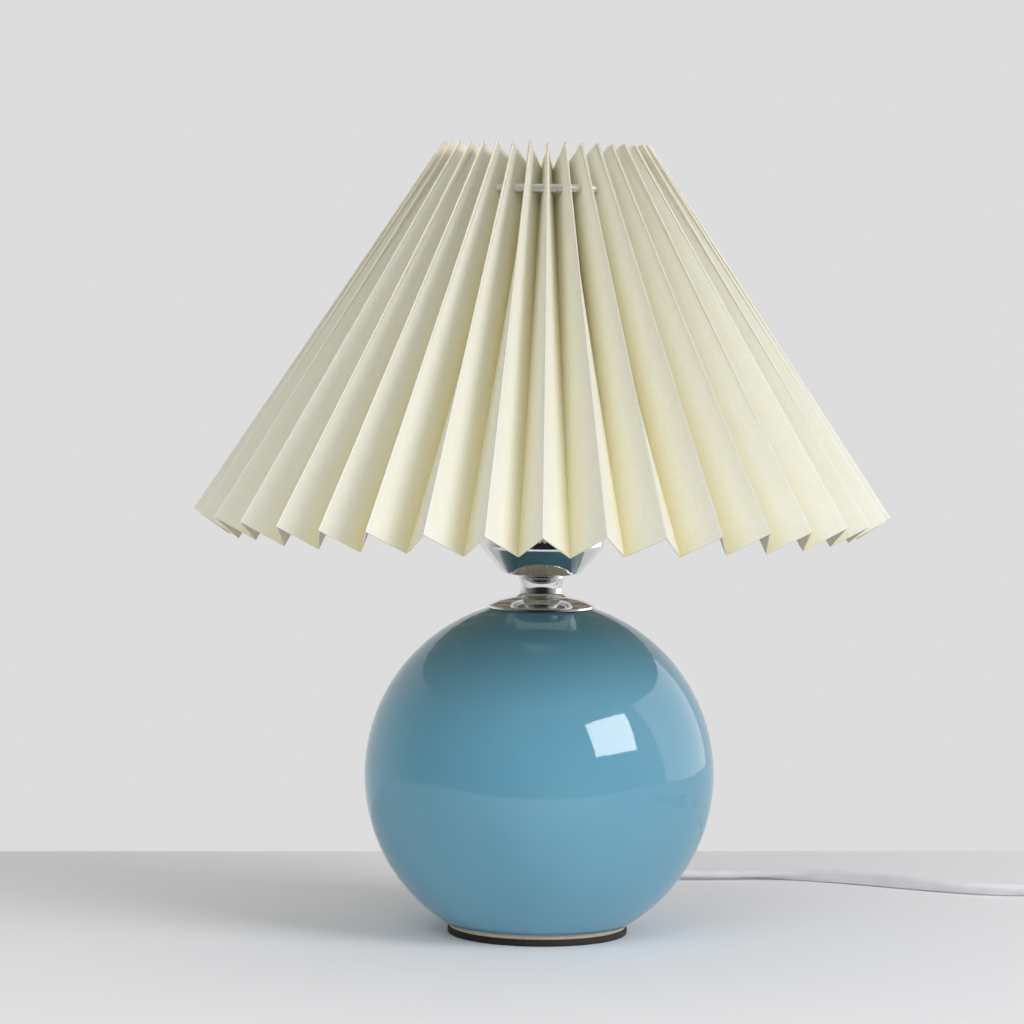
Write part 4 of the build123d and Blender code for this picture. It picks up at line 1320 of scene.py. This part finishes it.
@dataclass
class CordSet:
    """The cord from its outlet to the switch, round the coil and into the plug."""

    outlet: CordOutlet = field(default_factory=CordOutlet)
    switch_start: Point3 = (226.0, 96.5, 6.5)
    switch_end: Point3 = (286.0, 96.5, 6.5)
    switch_nodes: tuple[str, ...] = (
        "switch_lower", "switch_upper", "switch_rocker", "switch_screws", "switch_contacts",
    )
    coil_middle: Point2 = (292.0, 20.0)
    coil_low: float = 3.6
    coil_layer: float = 5.7
    coil_radius: float = 40.8
    coil_step: float = 2.7
    turns_in: int = 7
    turns_out: int = 6
    points_a_half_turn: int = 7
    plug_end: Point3 = (327.4, -26.0, 6.85)
    plug_nodes: tuple[str, ...] = ("plug_body", "plug_pins", "pin_sleeves")
    front_rolls: Profile = ((0.0, 0.0), (0.3, 20.0), (0.42, 8.0), (0.62, 90.0), (0.8, 55.0), (1.0, 0.0))
    rest_rolls: Profile = ((0.0, 0.0), (0.06, 90.0), (0.97, 90.0), (1.0, 0.0))

    def front_route(self) -> list[Point3]:
        """Route from the outlet, behind the ball and over the table to the switch.

        Returns:
            Its points, in millimetres.
        """
        return [
            (0.0, self.outlet.end, self.outlet.height),
            (0.0, 76.0, self.outlet.height),
            (3.0, 94.0, 12.5),
            (10.0, 110.0, 5.6),
            (22.0, 119.5, 3.0),
            (43.0, 124.5, 2.6),
            (69.0, 129.8, 2.2),
            (97.0, 131.5, 2.2),
            (123.0, 122.0, 2.7),
            (147.0, 108.5, 2.6),
            (170.0, 97.5, 2.6),
            (192.0, 95.5, 2.6),
            (208.0, 96.2, 4.6),
            (219.0, 96.5, 6.5),
            self.switch_start,
        ]

    def coil_route(self) -> list[Point3]:
        """Points round the coil: in on the lower layer, up, and out on the upper one.

        Returns:
            The points, in millimetres.
        """
        middle, across = self.coil_middle
        place, side = middle + self.coil_radius, 1
        points: list[Point3] = []
        for turn in range(self.turns_in + 1 + self.turns_out):
            steps = turn if turn <= self.turns_in else 2 * self.turns_in - turn
            radius = self.coil_radius - steps * self.coil_step
            centre = place - side * radius
            reach = radius / math.cos(math.pi / self.points_a_half_turn / 2)
            for step in range(self.points_a_half_turn):
                angle = math.pi * (step + 0.5) / self.points_a_half_turn
                climb = 0.0 if turn < self.turns_in else 1.0
                if turn == self.turns_in:
                    climb = (1 - math.cos(angle)) / 2
                height = self.coil_low + self.coil_layer * climb
                x = centre + side * reach * math.cos(angle)
                points.append((x, across - side * reach * math.sin(angle), height))
            place -= side * 2 * radius
            side = -side
        return points

    def rest_route(self) -> list[Point3]:
        """Route from the switch round the coil to the plug.

        Returns:
            Its points, in millimetres.
        """
        start = self.coil_middle[0] + self.coil_radius
        low, high = self.coil_low, self.coil_low + self.coil_layer
        x, y, z = self.switch_end
        link = [
            self.switch_end,
            (x + 12.0, y, z),
            (x + 28.0, 92.0, 5.4),
            (x + 40.5, 79.5, 4.2),
            (start + 0.6, 61.0, low),
            (start, 42.0, low),
            (start, 30.0, low),
        ]
        x, _, z = self.plug_end
        tail = [(x, 12.0, high), (x, 1.8, high), (x, -14.2, z), self.plug_end]
        return link + self.coil_route() + tail

    def build(self, nodes: dict[str, Piece]) -> None:
        """Makes and dresses the outlet sleeve, both lengths of cord and the coil tie.

        Args:
            nodes: The CAD nodes by name.
        """
        self.outlet.build()
        front = FlatCord("cord_front", self.front_route(), self.front_rolls)
        points = front.line()
        piece = settle(front.tube(points), SHEATH, Body.BASE, Slot.CORD, "cord_run")
        rest = FlatCord("cord_rest", self.rest_route(), self.rest_rolls)
        points = rest.line()
        piece = settle(rest.tube(points), SHEATH, Body.BASE, Slot.CORD, "cord_link", "cord_coil", "cord_tail")
        plug = [nodes[name] for name in self.plug_nodes] + [CoilTie().build()]


@dataclass(frozen=True)
class SoftBox:
    """A soft rectangular light, which either lights the pieces or is only mirrored in them."""

    name: str
    place: Point3
    size: Point2
    power: float
    mirrored: bool = False
    colour: Colour = (1.0, 1.0, 1.0)
    aim: Point3 = (0.0, 0.0, 0.12)

    def hang(self) -> None:
        """Hangs the light and points it at its aim."""
        light = bpy.data.lights.new(self.name, "AREA")
        light.shape = "RECTANGLE"
        light.size, light.size_y = self.size
        light.energy = self.power
        light.color = self.colour
        holder = bpy.data.objects.new(self.name, light)
        holder.location = self.place
        holder.rotation_euler = (Vector(self.aim) - Vector(self.place)).to_track_quat("-Z", "Y").to_euler()
        holder.visible_camera = False
        holder.visible_diffuse = not self.mirrored
        holder.visible_glossy = self.mirrored
        bpy.context.scene.collection.objects.link(holder)


@dataclass
class Studio:
    """Table, soft light and the camera."""

    table_back: float = 0.199
    table_front: float = -0.42
    table_sides: Point2 = (-0.8, 0.9)
    table_skew: float = 0.086
    wall_tone: float = 0.72
    room_tone: float = 0.02
    dark_side: float = 0.28
    ceiling_tones: Point2 = (0.2, 0.58)
    sky_colour: Colour = (0.995, 1.0, 0.995)
    lights: tuple[SoftBox, ...] = (
        SoftBox("window", (1.14, -0.85, 0.8), (0.86, 0.6), 17.0, mirrored=True),
        SoftBox("key", (2.28, -1.7, 1.48), (1.5, 1.5), 54.0, colour=(0.98, 0.99, 1.05)),
        SoftBox("fill", (-0.8, -2.0, 1.3), (1.8, 1.8), 18.0),
        SoftBox("side", (1.95, 0.95, 0.85), (2.4, 2.0), 14.0, mirrored=True),
    )
    distance: float = 1.6
    camera_side: float = -0.01093
    camera_height: float = 0.266
    pitch: float = 4.07
    roll: float = 0.7
    lens: float = 156.94
    sensor: float = 36.0

    def table(self) -> None:
        """Lays the table top, which ends behind the lamp."""
        deselect()
        bpy.ops.mesh.primitive_plane_add(size=1.0, location=(0, 0, 0))
        top = bpy.context.object
        top.name = "table_top"
        (left, right), front = self.table_sides, self.table_front
        near, far = (self.table_back + self.table_skew * x for x in (left, right))
        corners = [(left, front), (right, front), (left, near), (right, far)]
        for vertex, (x, y) in zip(top.data.vertices, corners):
            vertex.co = (x, y, 0)
        top.data.materials.append(TABLE.material())

    def sky_light(self) -> None:
        """Sets the sky: an even pale wall to look at, and a room with a dim front to be mirrored."""
        world = bpy.data.worlds.new("studio_sky")
        bpy.context.scene.world = world
        world.use_nodes = True
        sky = Nodes(world.node_tree, "Background")
        path = sky.add("LightPath").outputs
        across, along, upward = sky.add("SeparateXYZ", {0: sky.add("TexCoord").outputs["Generated"]}).outputs
        left = sky.between(across, span=(-0.9, 0.3), result=(self.dark_side, self.wall_tone))
        wall = sky.between(along, span=(0.0, 0.6), result=(left, self.wall_tone))
        room = sky.between(along, span=(-0.9, 0.1), result=(self.room_tone, wall))
        ceiling = sky.between(upward, UNIT, self.ceiling_tones)
        lit = sky.between(path["Is Glossy Ray"], UNIT, (ceiling, room))
        strength = sky.between(path["Is Camera Ray"], UNIT, (lit, self.wall_tone))
        sky.dress(Strength=strength, Color=solid(self.sky_colour))

    def camera(self) -> None:
        """Sets the camera at the photographed angle."""
        data = bpy.data.cameras.new("camera")
        data.lens = self.lens
        data.sensor_width = self.sensor
        camera = bpy.data.objects.new("camera", data)
        tilt = Matrix.Rotation(math.radians(90 - self.pitch), 4, "X")
        lean = Matrix.Rotation(math.radians(self.roll), 4, "Z")
        place = Matrix.Translation((self.camera_side, -self.distance, self.camera_height))
        camera.matrix_world = place @ tilt @ lean
        bpy.context.scene.collection.objects.link(camera)
        bpy.context.scene.camera = camera

    def build(self) -> None:
        """Sets up the stage."""
        bpy.context.scene.view_settings.view_transform = "Standard"
        self.table()
        self.sky_light()
        for light in self.lights:
            light.hang()
        self.camera()


def dress_cad(nodes: dict[str, Piece]) -> None:
    """Gives every CAD node that no piece stands for its finish.

    Args:
        nodes: The CAD nodes by name.
    """
    for finish, names in CAD_FINISHES.items():
        for name in names:
            nodes[name].data.materials.clear()
            nodes[name].data.materials.append(finish.material())


def main() -> None:
    """Builds the lamp's pieces in order around the CAD frame."""
    logging.basicConfig(level=logging.INFO, format="%(name)s %(message)s")
    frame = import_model()
    Studio().build()
    CordSet().build(frame["nodes"])
    CeramicBase().build()
    ChromeNeck().build()
    BulbHolder().build()
    Bulb().build()
    PleatedShade().build()
    dress_cad(frame["nodes"])


if __name__ == "__main__":
    main()
